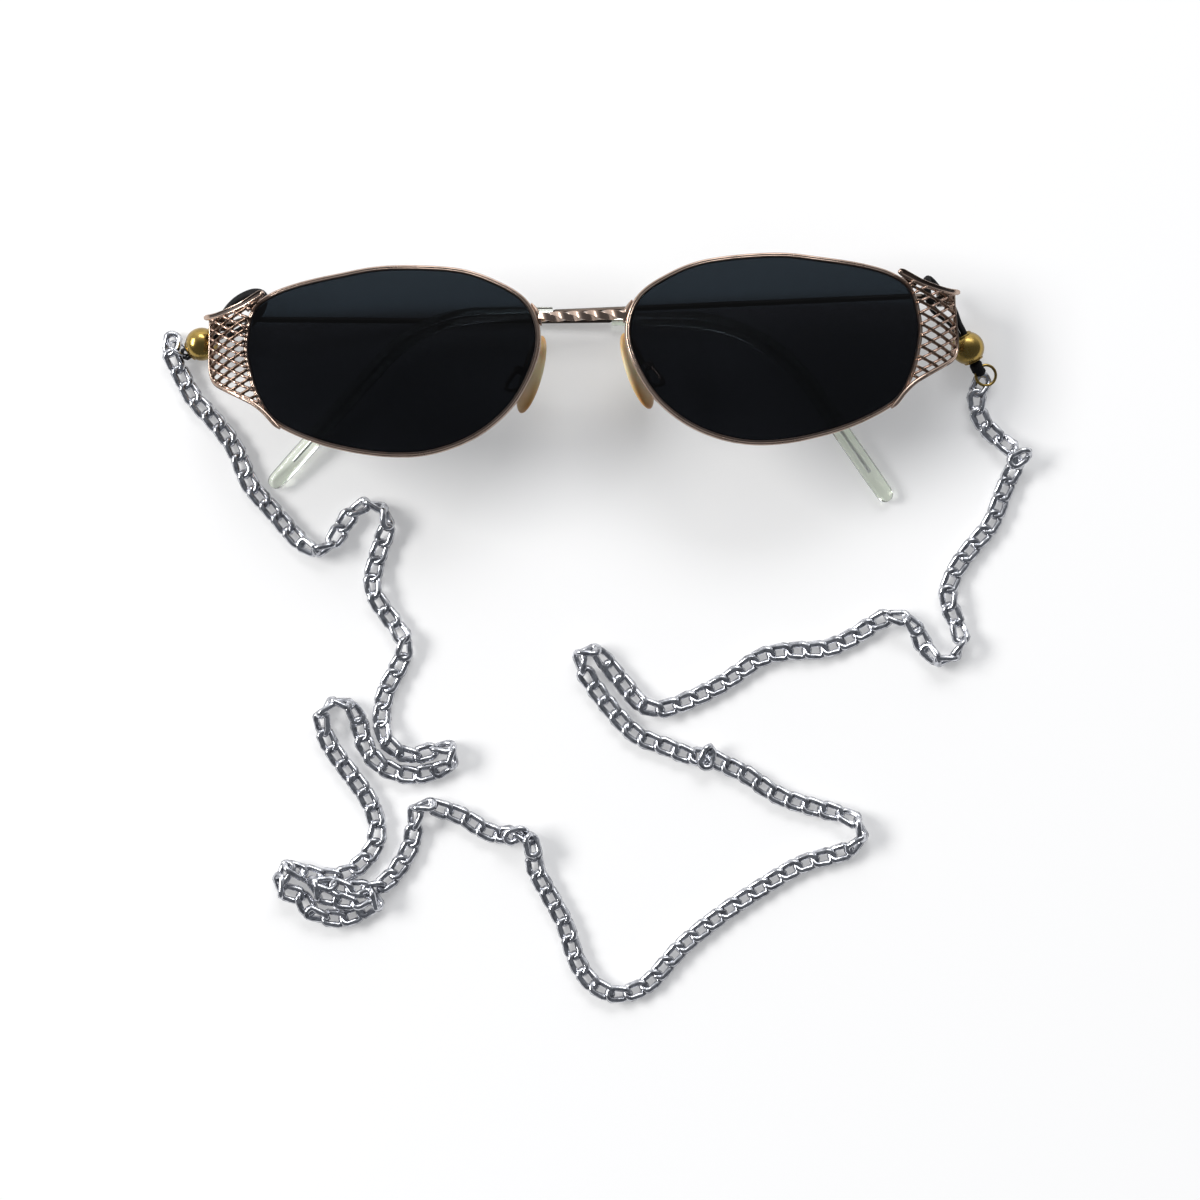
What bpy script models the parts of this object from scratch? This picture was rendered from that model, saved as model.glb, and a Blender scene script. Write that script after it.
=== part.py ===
# Metal sunglasses with openwork side panels, folded, lying lens up on their temples,
# with a flat curb chain that is held to both temples by rubber nooses.
# +X is the wearer's left, +Y the top of the lenses, +Z the way the lenses face.
# Sizes below are in millimetres and degrees. MM turns them into metres as meshes are made.

import math

import bmesh
import bpy
import numpy as np
from mathutils import Matrix, Vector

MM = 0.001

# The lens line is the line through both lens centres. It lies this far above the middle
# of the folded glasses, so that the part's origin is under the middle of its outline.
LENS_LINE_Y = 5.5

# Lenses
LENS_WIDTH = 54.0
LENS_HEIGHT = 33.6
LENS_THICKNESS = 1.8
LENS_RADIUS = 88.0
LENS_STEPS = 50
BRIDGE_GAP = 17.6
FACE_WRAP = 4.0
FRONT_HEIGHT = 18.6
FIT_GAP = 0.12
# Shares of half the width and half the height, from the middle of the top edge
# round the temple side. The first share grows towards the temple.
LENS_OUTLINE = [
    (0.00, 1.00), (0.33, 0.94), (0.63, 0.86), (0.83, 0.76), (0.95, 0.60), (1.00, 0.24), (0.98, -0.03),
    (0.926, -0.31), (0.826, -0.565), (0.63, -0.75), (0.37, -0.90), (0.04, -1.00), (-0.26, -0.99),
    (-0.555, -0.83), (-0.796, -0.53), (-0.948, -0.13), (-1.00, 0.25), (-0.93, 0.583), (-0.74, 0.80),
    (-0.463, 0.952),
]

# Rims
RIM_WIDTH = 0.95
RIM_DEPTH = 1.8
RIM_CHAMFER = 0.2
GROOVE_DEPTH = 0.5
GROOVE_WIDTH = 1.1
LENS_RIDGE = 0.9

# Bridge bar, a square bar twisted along its length
BRIDGE_SIDE = 1.4
BRIDGE_Y = 7.4
BRIDGE_PITCH = 13.2
BRIDGE_STEPS = 26
BRIDGE_PLAIN_END = 0.7

# Side panels, bent back round an arc that starts on the front of the rim
PANEL_START_X = 59.0
PANEL_START_Z = 14.5
PANEL_BEND_RADIUS = 17.5
PANEL_START_ANGLE = 7.0
RAIL_DEPTH = 0.9
RAIL_LAP_GAP = 0.12
TOP_RAIL_INNER_WIDTH = 1.35
TOP_RAIL_OUTER_WIDTH = 1.05
TOP_RAIL_EDGE = 0.26
TOP_RAIL_SUNK = 0.3
TOP_RAIL_ROUTE = [(59.4, 14.0), (61.0, 13.1), (63.5, 11.8), (66.5, 10.8), (69.0, 10.3), (71.3, 10.3)]
SIDE_RAIL_WIDTH = 0.9
SIDE_RAIL_ROUTE = [
    (70.0, 9.5), (70.3, 6.0), (70.6, 1.5), (70.4, -0.7), (69.5, -2.4), (67.3, -3.8), (64.5, -5.3),
    (61.9, -6.8), (59.9, -8.5), (58.2, -10.5), (57.0, -11.7),
]
SIDE_RAIL_CORNER = 4
LATTICE_THICKNESS = 0.5
LATTICE_CELL_WIDTH = 3.9
LATTICE_CELL_HEIGHT = 1.95
LATTICE_SHIFT = 0.82
LATTICE_SMALLEST_EDGE = 0.4

# Rim locks, the blocks that close each split rim behind the top rail
LOCK_LENGTH = 3.0
LOCK_WIDTH = 1.5
LOCK_DEPTH = 1.6
LOCK_STATION = 0.19
LOCK_RISE = -0.5
LOCK_SCREW_RADIUS = 0.4
LOCK_HEAD_RADIUS = 0.6
LOCK_HEAD_HEIGHT = 0.35

# Hinges
HINGE_X = 68.4
HINGE_Y = 9.2
HINGE_Z = 6.0
KNUCKLE_RADIUS = 1.15
KNUCKLE_HEIGHT = 1.2
FRONT_KNUCKLE_HEIGHT = 0.58
KNUCKLE_GAP = 0.12
HINGE_SCREW_RADIUS = 0.38
HINGE_BORE_RADIUS = 0.5
HINGE_HEAD_RADIUS = 0.8
HINGE_HEAD_HEIGHT = 0.3
HINGE_LEAF_WIDTH = 1.7

# Temples
TEMPLE_WIRE_RADIUS = 0.55
CORE_WIRE_RADIUS = 0.32
# Past its knuckle each wire steps up to run this far over the hinge's middle
TEMPLE_RISE = 0.8
# Each wire has been bent by hand, so the two bends differ a little
TEMPLE_STRAIGHT = {"left": 86.9, "right": 87.8}
TEMPLE_BEND_RADIUS = {"left": 30.6, "right": 26.4}
TEMPLE_BEND_ANGLE = {"left": 55.6, "right": 45.0}
TEMPLE_DROP = {"left": 26.2, "right": 32.4}
SLEEVE_START = 74.0
SLEEVE_START_WIDTH = 2.1
SLEEVE_WIDTH = 3.4
SLEEVE_THICKNESS = 2.3
CORE_END_GAP = 6.5
# How far each folded temple leans below the hinge's square, and its heights over the
# surface at shares of its length. The left one lies on the surface, the right one rests
# over it and comes down at its tip.
TEMPLE_LEAN = {"left": -1.55, "right": -0.45}
TEMPLE_HEIGHTS = {
    "left": [(0.0, 6.0), (0.03, 5.7), (0.29, 0.62), (0.42, 0.62), (0.53, 1.15), (1.0, 1.15)],
    "right": [(0.0, 6.0), (0.03, 5.9), (0.5, 4.9), (0.72, 4.6), (0.78, 4.2), (0.985, 1.15), (1.0, 1.15)],
}

# Nose pads, given at the screw that each one rocks on
PAD_LENGTH = 15.2
PAD_WIDTH = 7.8
PAD_THICKNESS = 1.7
PAD_PIVOT = (11.8, -2.0, 9.5)
PAD_FRONTAL_ANGLE = 17.0
PAD_SPLAY_ANGLE = 30.0
PAD_PIVOT_OFFSET = 2.2
PAD_LUG_RADIUS = 0.75
PAD_LUG_THICKNESS = 0.6
PAD_SCREW_RADIUS = 0.25
PAD_BORE_RADIUS = 0.37
PAD_FORK_THICKNESS = 0.4
PAD_FORK_REACH = 1.6
PAD_ARM_RADIUS = 0.4
PAD_ARM_ROUTE = [(9.9, -2.2, 14.9), (10.9, -4.2, 14.2), (12.9, -5.8, 13.2), (14.9, -5.2, 11.9)]

# Rubber nooses, given for the strand that leaves the bead's inner side and comes back on
# its outer side
NOOSE_RADIUS = 0.6
# The left strand is thicker at the far end of its loop, by this much
NOOSE_SWELL = {"left": 1.4, "right": 1.0}
STRAND_OFFSET = 0.62
STRAND_END_GAP = 0.15
NOOSE_ROUTE = {
    "right": [
        (70.3, 4.6, 4.1), (68.6, 6.0, 4.9), (66.6, 7.4, 6.3), (65.6, 9.6, 7.4), (65.4, 12.0, 7.0),
        (65.8, 13.2, 5.6), (66.7, 12.8, 4.5), (68.0, 11.4, 3.8), (69.8, 9.4, 3.3), (71.0, 7.2, 3.1),
        (71.6, 5.2, 3.5),
    ],
    "left": [
        (-68.4, 7.0, 4.7), (-66.4, 7.3, 5.6), (-63.4, 8.5, 7.0), (-61.2, 10.7, 7.5), (-60.3, 12.9, 6.8),
        (-60.8, 14.4, 5.6), (-62.6, 14.6, 4.7), (-65.2, 13.3, 4.1), (-67.6, 11.2, 3.6), (-69.2, 9.2, 3.5),
    ],
}

# Beads, end sleeves and jump rings
BEAD_CENTRE = {"left": (-72.8, 5.8, 3.25), "right": (73.3, 0.1, 3.25)}
BEAD_AXIS = {"left": (-0.87, -0.46, -0.18), "right": (0.43, -0.88, -0.2)}
BEAD_RADIUS = 3.15
BEAD_LENGTH = 5.6
BEAD_NECK_RADIUS = 1.75
BEAD_BORE_RADIUS = 1.35
SLEEVE_END_RADIUS = 1.25
SLEEVE_END_LENGTH = 3.0
# How far each end sleeve stands off its bead's mouth. The left one sits inside the mouth.
SLEEVE_END_GAP = {"left": -1.3, "right": 0.15}
RING_HOLE_RADIUS = 0.85
RING_SET_IN = 0.3
RING_RADIUS = 1.95
RING_WIRE_RADIUS = 0.28
RING_STEPS = 14
# How far past the end sleeve's middle its cross hole lies
RING_SEAT = {"left": 0.6, "right": 0.45}
RING_DIRECTION = {"left": (-0.75, 0.62, 0.0), "right": (0.82, -0.55, -0.15)}
# How far each ring is rolled out of the flat about the line to its middle
RING_ROLL = {"left": 65.0, "right": 0.0}

# Chain
CHAIN_DIAMETER = 2.8
CHAIN_STEP = 7.0
CHAIN_TURN = 40.0
CHAIN_LEFT_ROUTE = [
    (-79.35, 5.1), (-77.7, 0.8), (-76.2, -2.0), (-74.9, -4.5), (-71.0, -9.0), (-67.5, -14.0), (-65.5, -19.5),
    (-64.3, -22.0), (-60.5, -26.5), (-56.0, -32.0), (-52.6, -34.3), (-49.5, -33.2), (-46.5, -28.5),
    (-43.5, -26.0), (-40.0, -26.3), (-38.6, -29.5), (-40.0, -33.5), (-41.5, -38.0), (-42.0, -41.5),
    (-41.0, -44.5), (-37.2, -50.0), (-36.0, -53.0), (-37.2, -56.5), (-40.0, -61.5), (-41.0, -66.0),
    (-40.8, -70.0), (-38.8, -72.8), (-35.5, -74.2), (-32.0, -73.5), (-29.2, -72.5), (-27.3, -74.0),
    (-28.6, -76.3), (-31.5, -77.3), (-35.5, -78.0), (-39.5, -77.0), (-42.5, -75.0), (-44.6, -71.5),
    (-45.4, -67.5), (-46.6, -64.6), (-49.5, -63.2), (-52.2, -65.0), (-52.4, -68.2), (-51.0, -72.0),
    (-48.0, -76.5), (-44.3, -82.0), (-42.7, -86.5), (-42.8, -90.0), (-44.3, -92.9), (-47.8, -96.0),
]
CHAIN_RIGHT_ROUTE = [
    (-41.8, -99.7), (-39.5, -96.5), (-36.7, -92.3), (-35.6, -88.5), (-35.3, -85.2), (-33.4, -83.4),
    (-30.5, -84.6), (-26.5, -86.0), (-21.5, -89.3), (-18.0, -90.0), (-14.6, -90.0), (-12.8, -92.6),
    (-12.7, -96.5), (-10.5, -101.0), (-7.3, -107.5), (-5.5, -114.0), (-2.8, -118.7), (1.0, -121.0),
    (4.5, -121.0), (8.8, -119.0), (15.0, -112.5), (23.0, -106.5), (31.0, -101.5), (38.5, -97.5),
    (44.5, -96.0), (48.3, -94.6), (50.2, -92.0), (48.8, -89.3), (45.5, -87.9), (40.5, -86.5),
    (34.0, -84.0), (28.5, -80.0), (25.0, -78.3), (21.5, -76.4), (17.5, -76.0), (13.0, -74.0),
    (8.0, -72.0), (4.5, -68.5), (0.9, -63.8), (-1.6, -59.9), (-2.9, -56.9), (-1.2, -54.9),
    (1.3, -56.2), (3.6, -59.4), (6.2, -62.6), (8.0, -65.2), (10.5, -66.6), (13.5, -66.8), (20.0, -64.5),
    (26.0, -61.5), (32.0, -57.6), (38.0, -56.6), (44.0, -56.5), (49.5, -54.5), (55.0, -51.2),
    (58.3, -50.7), (61.5, -52.5), (63.0, -56.0), (65.6, -59.3), (68.8, -58.7), (70.4, -56.0),
    (69.6, -52.0), (68.1, -47.8), (69.4, -43.0), (73.0, -38.0), (77.0, -33.5), (79.5, -27.5),
    (81.2, -23.8), (82.6, -20.9), (80.7, -18.8), (77.5, -16.0), (75.5, -13.3), (74.9, -10.6),
    (75.9, -7.75),
]
# The pile where the chain lies over itself, as the outline of its two layers
PILE_OUTLINE = [
    (-47.8, -96.9), (-52.5, -94.6), (-57.0, -95.3), (-60.4, -92.8), (-62.8, -95.4), (-62.2, -99.2),
    (-57.8, -101.8), (-55.8, -105.0), (-50.0, -106.6), (-44.8, -104.8), (-42.2, -102.0), (-42.4, -99.6),
    (-45.0, -98.4),
]
PILE_HEIGHT = 4.4
PILE_ROUNDING = 0.8

SIDES = {"left": -1, "right": 1}


# Scene and materials

def clear_scene():
    for thing in list(bpy.data.objects):
        bpy.data.objects.remove(thing, do_unlink=True)


def make_material(name, colour, metallic, roughness, transmission=0.0):
    material = bpy.data.materials.new(name)
    material.use_nodes = True
    shader = material.node_tree.nodes["Principled BSDF"]
    shader.inputs["Base Color"].default_value = (*colour, 1.0)
    shader.inputs["Metallic"].default_value = metallic
    shader.inputs["Roughness"].default_value = roughness
    shader.inputs["Transmission Weight"].default_value = transmission
    return material


clear_scene()
PARTS = bpy.data.collections.new("sunglasses")
CUTTERS = bpy.data.collections.new("cutters")
bpy.context.scene.collection.children.link(PARTS)
bpy.context.scene.collection.children.link(CUTTERS)

DATUM = bpy.data.objects.new("lens_line", None)
DATUM.location = (0.0, LENS_LINE_Y * MM, 0.0)
PARTS.objects.link(DATUM)

ROSE_GOLD = make_material("rose_gold", (0.72, 0.52, 0.42), 1.0, 0.25)
STEEL = make_material("steel", (0.62, 0.60, 0.57), 1.0, 0.3)
DARK_LENS = make_material("dark_lens", (0.02, 0.025, 0.03), 0.0, 0.05)
CLEAR_TIP = make_material("clear_tip", (0.72, 0.78, 0.62), 0.0, 0.15, 0.8)
CLEAR_PAD = make_material("clear_pad", (0.80, 0.66, 0.42), 0.0, 0.2, 0.7)
BLACK_RUBBER = make_material("black_rubber", (0.02, 0.02, 0.02), 0.0, 0.6)
GOLD = make_material("gold", (0.60, 0.44, 0.16), 1.0, 0.3)
CHROME = make_material("chrome", (0.80, 0.81, 0.83), 1.0, 0.12)


# Mesh helpers

def metres(point):
    return Vector(point) * MM


def finish_object(name, mesh, material, matrix=None, collection=PARTS):
    thing = bpy.data.objects.new(name, mesh)
    collection.objects.link(thing)
    if material is not None:
        mesh.materials.append(material)
    thing.parent = DATUM
    if matrix is not None:
        thing.matrix_basis = matrix
    if collection is CUTTERS:
        thing.hide_render = True
        thing.display_type = "WIRE"
    return thing


def mesh_of(name, bm, smooth=True):
    bmesh.ops.recalc_face_normals(bm, faces=bm.faces)
    mesh = bpy.data.meshes.new(name)
    bm.to_mesh(mesh)
    bm.free()
    if smooth:
        mesh.shade_smooth()
        mesh.set_sharp_from_angle(angle=math.radians(35.0))
    return mesh


def loft(name, rings, closed=False):
    """A closed body through like rings of points in millimetres. A ring of one point is a pole."""
    bm = bmesh.new()
    made = [[bm.verts.new(metres(p)) for p in ring] for ring in rings]
    pairs = list(zip(made, made[1:]))
    if closed:
        pairs.append((made[-1], made[0]))
    for a, b in pairs:
        count = max(len(a), len(b))
        for i in range(count):
            j = (i + 1) % count
            corners = [a[i % len(a)], a[j % len(a)], b[j % len(b)], b[i % len(b)]]
            face = list(dict.fromkeys(corners))
            bm.faces.new(face)
    if not closed:
        for ring in (made[0], made[-1]):
            if len(ring) > 1:
                bm.faces.new(ring)
    return mesh_of(name, bm)


def sweep(name, points, normals, sections):
    """Sections of (across, up) in millimetres along points whose up directions are given."""
    rings = []
    for i, (point, up) in enumerate(zip(points, normals)):
        ahead = Vector(points[min(i + 1, len(points) - 1)]) - Vector(points[max(i - 1, 0)])
        across = Vector(up).cross(ahead).normalized()
        lift = ahead.cross(across).normalized()
        rings.append([Vector(point) + across * a + lift * b for a, b in sections[i]])
    return loft(name, rings)


def catmull(a, b, c, d, t):
    a, b, c, d = (np.array(p, dtype=float) for p in (a, b, c, d))
    return 0.5 * (2 * b + (c - a) * t + (2 * a - 5 * b + 4 * c - d) * t**2 + (3 * b - a - 3 * c + d) * t**3)


def smooth_line(points, closed=False, per_span=16):
    count = len(points)
    spans = count if closed else count - 1
    line = []
    for i in range(spans):
        if closed:
            four = [points[(i + k) % count] for k in (-1, 0, 1, 2)]
        else:
            four = [points[min(max(i + k, 0), count - 1)] for k in (-1, 0, 1, 2)]
        line += [catmull(*four, step / per_span) for step in range(per_span)]
    if not closed:
        line.append(np.array(points[-1], dtype=float))
    return line


def lengths_along(line):
    return np.concatenate([[0.0], np.cumsum([np.linalg.norm(b - a) for a, b in zip(line, line[1:])])])


def even_points(line, count, closed=False):
    """Points evenly spaced by length along a line."""
    whole = list(line) + ([line[0]] if closed else [])
    along = lengths_along(whole)
    stops = np.linspace(0.0, along[-1], count, endpoint=not closed)
    table = np.array(whole)
    return [tuple(np.interp(s, along, table[:, k]) for k in range(table.shape[1])) for s in stops]


def bend_points(line, step, turn):
    """Points of a line that lie at most a step apart, and closer where it turns."""
    kept = [line[0]]
    heading = line[1] - line[0]
    travelled = 0.0
    for before, here, after in zip(line, line[1:], line[2:]):
        travelled += np.linalg.norm(here - before)
        ahead = after - here
        cosine = np.dot(heading, ahead) / (np.linalg.norm(heading) * np.linalg.norm(ahead))
        if travelled >= step or math.degrees(math.acos(max(-1.0, min(1.0, cosine)))) >= turn:
            kept.append(here)
            heading = ahead
            travelled = 0.0
    kept.append(line[-1])
    return kept


def tube(name, points, radius, material, radii=None, resolution=2):
    """A round wire along points in millimetres, with filled ends."""
    curve = bpy.data.curves.new(name, "CURVE")
    curve.dimensions = "3D"
    curve.bevel_depth = radius * MM
    curve.bevel_resolution = resolution
    curve.use_fill_caps = True
    spline = curve.splines.new("POLY")
    spline.points.add(len(points) - 1)
    for i, point in enumerate(points):
        spline.points[i].co = (*metres(point), 1.0)
        spline.points[i].radius = radii[i] if radii else 1.0
    return finish_object(name, curve, material)


def meshed(thing, collection=PARTS):
    """The same object as a mesh with its caps welded on."""
    bpy.context.view_layer.update()
    graph = bpy.context.evaluated_depsgraph_get()
    mesh = bpy.data.meshes.new_from_object(thing.evaluated_get(graph))
    name, basis = thing.name, thing.matrix_basis.copy()
    bpy.data.objects.remove(thing, do_unlink=True)
    bm = bmesh.new()
    bm.from_mesh(mesh)
    bmesh.ops.remove_doubles(bm, verts=bm.verts, dist=0.000001)
    bmesh.ops.recalc_face_normals(bm, faces=bm.faces)
    bm.to_mesh(mesh)
    bm.free()
    mesh.name = name
    return finish_object(name, mesh, None, basis, collection)


def cylinder(name, radius, height, matrix, material=None, collection=PARTS, steps=16):
    """A cylinder along its own Z, centred on its matrix."""
    bm = bmesh.new()
    bmesh.ops.create_cone(
        bm, cap_ends=True, segments=steps, radius1=radius * MM, radius2=radius * MM, depth=height * MM
    )
    return finish_object(name, mesh_of(name, bm), material, matrix, collection)


def block(name, size, matrix, material=None, collection=PARTS):
    bm = bmesh.new()
    bmesh.ops.create_cube(bm, size=1.0)
    bmesh.ops.scale(bm, vec=metres(size), verts=bm.verts)
    return finish_object(name, mesh_of(name, bm), material, matrix, collection)


def turned(name, profile, matrix, material, steps=16):
    """A turned piece from (radius, height) points, listed from its top axis point to its bottom one."""
    bm = bmesh.new()
    verts = [bm.verts.new(metres((radius, 0.0, height))) for radius, height in profile]
    for a, b in zip(verts, verts[1:]):
        bm.edges.new((a, b))
    mesh = bpy.data.meshes.new(name)
    bm.to_mesh(mesh)
    bm.free()
    thing = finish_object(name, mesh, material, matrix)
    screw = thing.modifiers.new("turn", "SCREW")
    screw.steps = steps
    screw.render_steps = steps
    screw.use_merge_vertices = True
    screw.merge_threshold = 0.00001
    screw.use_smooth_shade = True
    return thing


def combine(thing, other, operation):
    boolean = thing.modifiers.new(operation.lower(), "BOOLEAN")
    boolean.operation = operation
    boolean.object = other
    return thing


def frame_at(point, z_axis, x_hint=(1.0, 0.0, 0.0)):
    """A matrix at a point in millimetres whose Z runs along z_axis and whose X is near x_hint."""
    z = Vector(z_axis).normalized()
    y = z.cross(Vector(x_hint)).normalized()
    x = y.cross(z)
    turn = Matrix((x, y, z)).transposed().to_4x4()
    return Matrix.Translation(metres(point)) @ turn


# Front: lenses, rims and bridge

def lens_drop(x, y):
    """How far the lens's middle surface has curved back at a point of its own plane."""
    return LENS_RADIUS - math.sqrt(LENS_RADIUS**2 - x**2 - y**2)


def lens_centre_x():
    half = LENS_WIDTH / 2
    wrap = math.radians(FACE_WRAP)
    return BRIDGE_GAP / 2 + half * math.cos(wrap) + lens_drop(half, 0.0) * math.sin(wrap)


def lens_matrix(side):
    place = Matrix.Translation(metres((side * lens_centre_x(), 0.0, FRONT_HEIGHT)))
    return place @ Matrix.Rotation(side * math.radians(FACE_WRAP), 4, "Y")


def lens_outline():
    """Points round the right lens with their outward directions, in its own plane."""
    scaled = [(u * LENS_WIDTH / 2, v * LENS_HEIGHT / 2) for u, v in LENS_OUTLINE]
    points = even_points(smooth_line(scaled, closed=True), LENS_STEPS, closed=True)
    outline = []
    for i, (x, y) in enumerate(points):
        ahead = np.array(points[(i + 1) % LENS_STEPS]) - np.array(points[i - 1])
        ahead = ahead / np.linalg.norm(ahead)
        outline.append(((x, y), (-ahead[1], ahead[0])))
    return outline


OUTLINE = lens_outline()


def outline_ring(side, out, up, scale=1.0):
    """The lens outline moved out and up, on the lens's curve."""
    ring = []
    for (x, y), (nx, ny) in OUTLINE:
        px = (x + nx * out) * scale
        py = (y + ny * out) * scale
        ring.append((side * px, py, up - lens_drop(px, py)))
    return ring


def make_rim(word, side):
    top = RIM_DEPTH / 2
    lip = GROOVE_WIDTH / 2
    section = [
        (0.0, lip), (RIM_CHAMFER, top), (RIM_WIDTH - RIM_CHAMFER, top), (RIM_WIDTH, top - RIM_CHAMFER),
        (RIM_WIDTH, RIM_CHAMFER - top), (RIM_WIDTH - RIM_CHAMFER, -top), (RIM_CHAMFER, -top), (0.0, -lip),
        (GROOVE_DEPTH, 0.0),
    ]
    rows = [outline_ring(side, out, up) for out, up in section]
    rings = [[row[i] for row in rows] for i in range(LENS_STEPS)]
    name = f"rim_{word}"
    finish_object(name, loft(name, rings, closed=True), ROSE_GOLD, lens_matrix(side))


def make_lens(word, side):
    top = LENS_THICKNESS / 2
    ridge = LENS_RIDGE / 2
    tip = GROOVE_DEPTH - FIT_GAP * 1.3
    rings = [[(0.0, 0.0, top)]]
    rings += [outline_ring(side, -FIT_GAP, top, scale) for scale in (0.5, 1.0)]
    rings += [outline_ring(side, -FIT_GAP, ridge), outline_ring(side, tip, 0.0)]
    rings += [outline_ring(side, -FIT_GAP, -ridge)]
    rings += [outline_ring(side, -FIT_GAP, -top, scale) for scale in (1.0, 0.5)]
    rings += [[(0.0, 0.0, -top)]]
    name = f"lens_{word}"
    finish_object(name, loft(name, rings), DARK_LENS, lens_matrix(side))


def front_surface_z(x, y):
    """Height of the lens's middle surface, carried on past its edge, over a point of the surface."""
    wrap = math.radians(FACE_WRAP)
    along = 0.0
    for _ in range(4):
        back = lens_drop(along, y)
        along = (abs(x) - lens_centre_x() + back * math.sin(wrap)) / math.cos(wrap)
    return FRONT_HEIGHT - lens_drop(along, y) * math.cos(wrap) - along * math.sin(wrap)


def rim_outer_points():
    """Plan points of the right rim's outer edge, in glasses coordinates."""
    matrix = lens_matrix(1)
    return [matrix @ metres(p) / MM for p in outline_ring(1, RIM_WIDTH, 0.0)]


def make_bridge():
    nasal = sorted((p.y, p.x) for p in rim_outer_points() if p.x < lens_centre_x() - LENS_WIDTH / 4)
    rim_y, rim_x = zip(*nasal)
    half = min(np.interp((BRIDGE_Y - BRIDGE_SIDE / 2, BRIDGE_Y + BRIDGE_SIDE / 2), rim_y, rim_x)) - FIT_GAP
    height = front_surface_z(half, BRIDGE_Y)
    side = BRIDGE_SIDE / 2
    cut = side * 0.7
    square = [(side, cut), (cut, side), (-cut, side), (-side, cut), (-side, -cut), (-cut, -side), (cut, -side),
              (side, -cut)]
    rings = []
    for x in [-half] + list(np.linspace(BRIDGE_PLAIN_END - half, half - BRIDGE_PLAIN_END, BRIDGE_STEPS)) + [half]:
        held = max(BRIDGE_PLAIN_END - half, min(half - BRIDGE_PLAIN_END, x))
        turn = 2 * math.pi * held / BRIDGE_PITCH
        c, s = math.cos(turn), math.sin(turn)
        rings.append([(x, BRIDGE_Y + a * c - b * s, height + a * s + b * c) for a, b in square])
    finish_object("bridge_bar", loft("bridge_bar", rings), ROSE_GOLD)


# Side panels

def panel_centre():
    angle = math.radians(PANEL_START_ANGLE)
    return (
        PANEL_START_X - PANEL_BEND_RADIUS * math.sin(angle),
        PANEL_START_Z - PANEL_BEND_RADIUS * math.cos(angle),
    )


def panel_angle(x):
    return math.asin((x - panel_centre()[0]) / PANEL_BEND_RADIUS)


def panel_point(angle, y, lift=0.0):
    reach = PANEL_BEND_RADIUS + lift
    middle_x, middle_z = panel_centre()
    return (middle_x + reach * math.sin(angle), y, middle_z + reach * math.cos(angle))


def rail_station(x, y):
    """A rail's middle and its up direction over a plan point, lifted where it laps the rim."""
    angle = panel_angle(x)
    px, _, pz = panel_point(angle, y)
    half = SIDE_RAIL_WIDTH / 2
    lap = front_surface_z(x - half, y) + RIM_DEPTH / 2 + RAIL_LAP_GAP + RAIL_DEPTH / 2
    if x < max(p.x for p in rim_outer_points()) + half:
        pz = max(pz, lap)
    return (px, y, pz), (math.sin(angle), 0.0, math.cos(angle))


def mirror_x(points, side):
    return [(side * x, y, z) for x, y, z in points]


def make_top_rail(word, side):
    line = even_points(smooth_line(TOP_RAIL_ROUTE), 13)
    widths = top_rail_widths(line)
    points, normals = zip(*[rail_station(x, y) for x, y in line])
    up = RAIL_DEPTH / 2
    floor = up - TOP_RAIL_SUNK
    sections = []
    for i, width in enumerate(widths):
        half = width / 2 * (0.6 if i == len(line) - 1 else 1.0)
        inner = half - TOP_RAIL_EDGE * (0.6 if i == len(line) - 1 else 1.0)
        sections.append([
            (-half, -up), (half, -up), (half, up), (inner, up), (inner - 0.05, floor), (0.05 - inner, floor),
            (-inner, up), (-half, up),
        ])
    name = f"top_rail_{word}"
    mesh = sweep(name, mirror_x(points, side), mirror_x(normals, side), sections)
    finish_object(name, mesh, ROSE_GOLD)


def make_side_rail(word, side):
    line = even_points(smooth_line(SIDE_RAIL_ROUTE), 20)
    points, normals = zip(*[rail_station(x, y) for x, y in line])
    half = SIDE_RAIL_WIDTH / 2
    up = RAIL_DEPTH / 2
    section = [(-half, -up), (half, -up), (half, 0.0), (half / 2, up), (-half / 2, up), (-half, 0.0)]
    name = f"side_rail_{word}"
    mesh = sweep(name, mirror_x(points, side), mirror_x(normals, side), [section] * len(line))
    finish_object(name, mesh, ROSE_GOLD)


def set_in(line, distances):
    """A plan line moved to its right-hand side, as (arc length, y) points of the unrolled panel."""
    moved = []
    for i, ((x, y), distance) in enumerate(zip(line, distances)):
        before = line[max(i - 1, 0)]
        after = line[min(i + 1, len(line) - 1)]
        along = (panel_angle(after[0]) - panel_angle(before[0])) * PANEL_BEND_RADIUS
        rise = after[1] - before[1]
        length = math.hypot(along, rise)
        moved.append((
            panel_angle(x) * PANEL_BEND_RADIUS + rise / length * distance,
            y - along / length * distance,
        ))
    return moved


def top_rail_widths(line):
    return np.interp([p[0] for p in line], [line[0][0], line[-3][0]], [TOP_RAIL_INNER_WIDTH, TOP_RAIL_OUTER_WIDTH])


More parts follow.
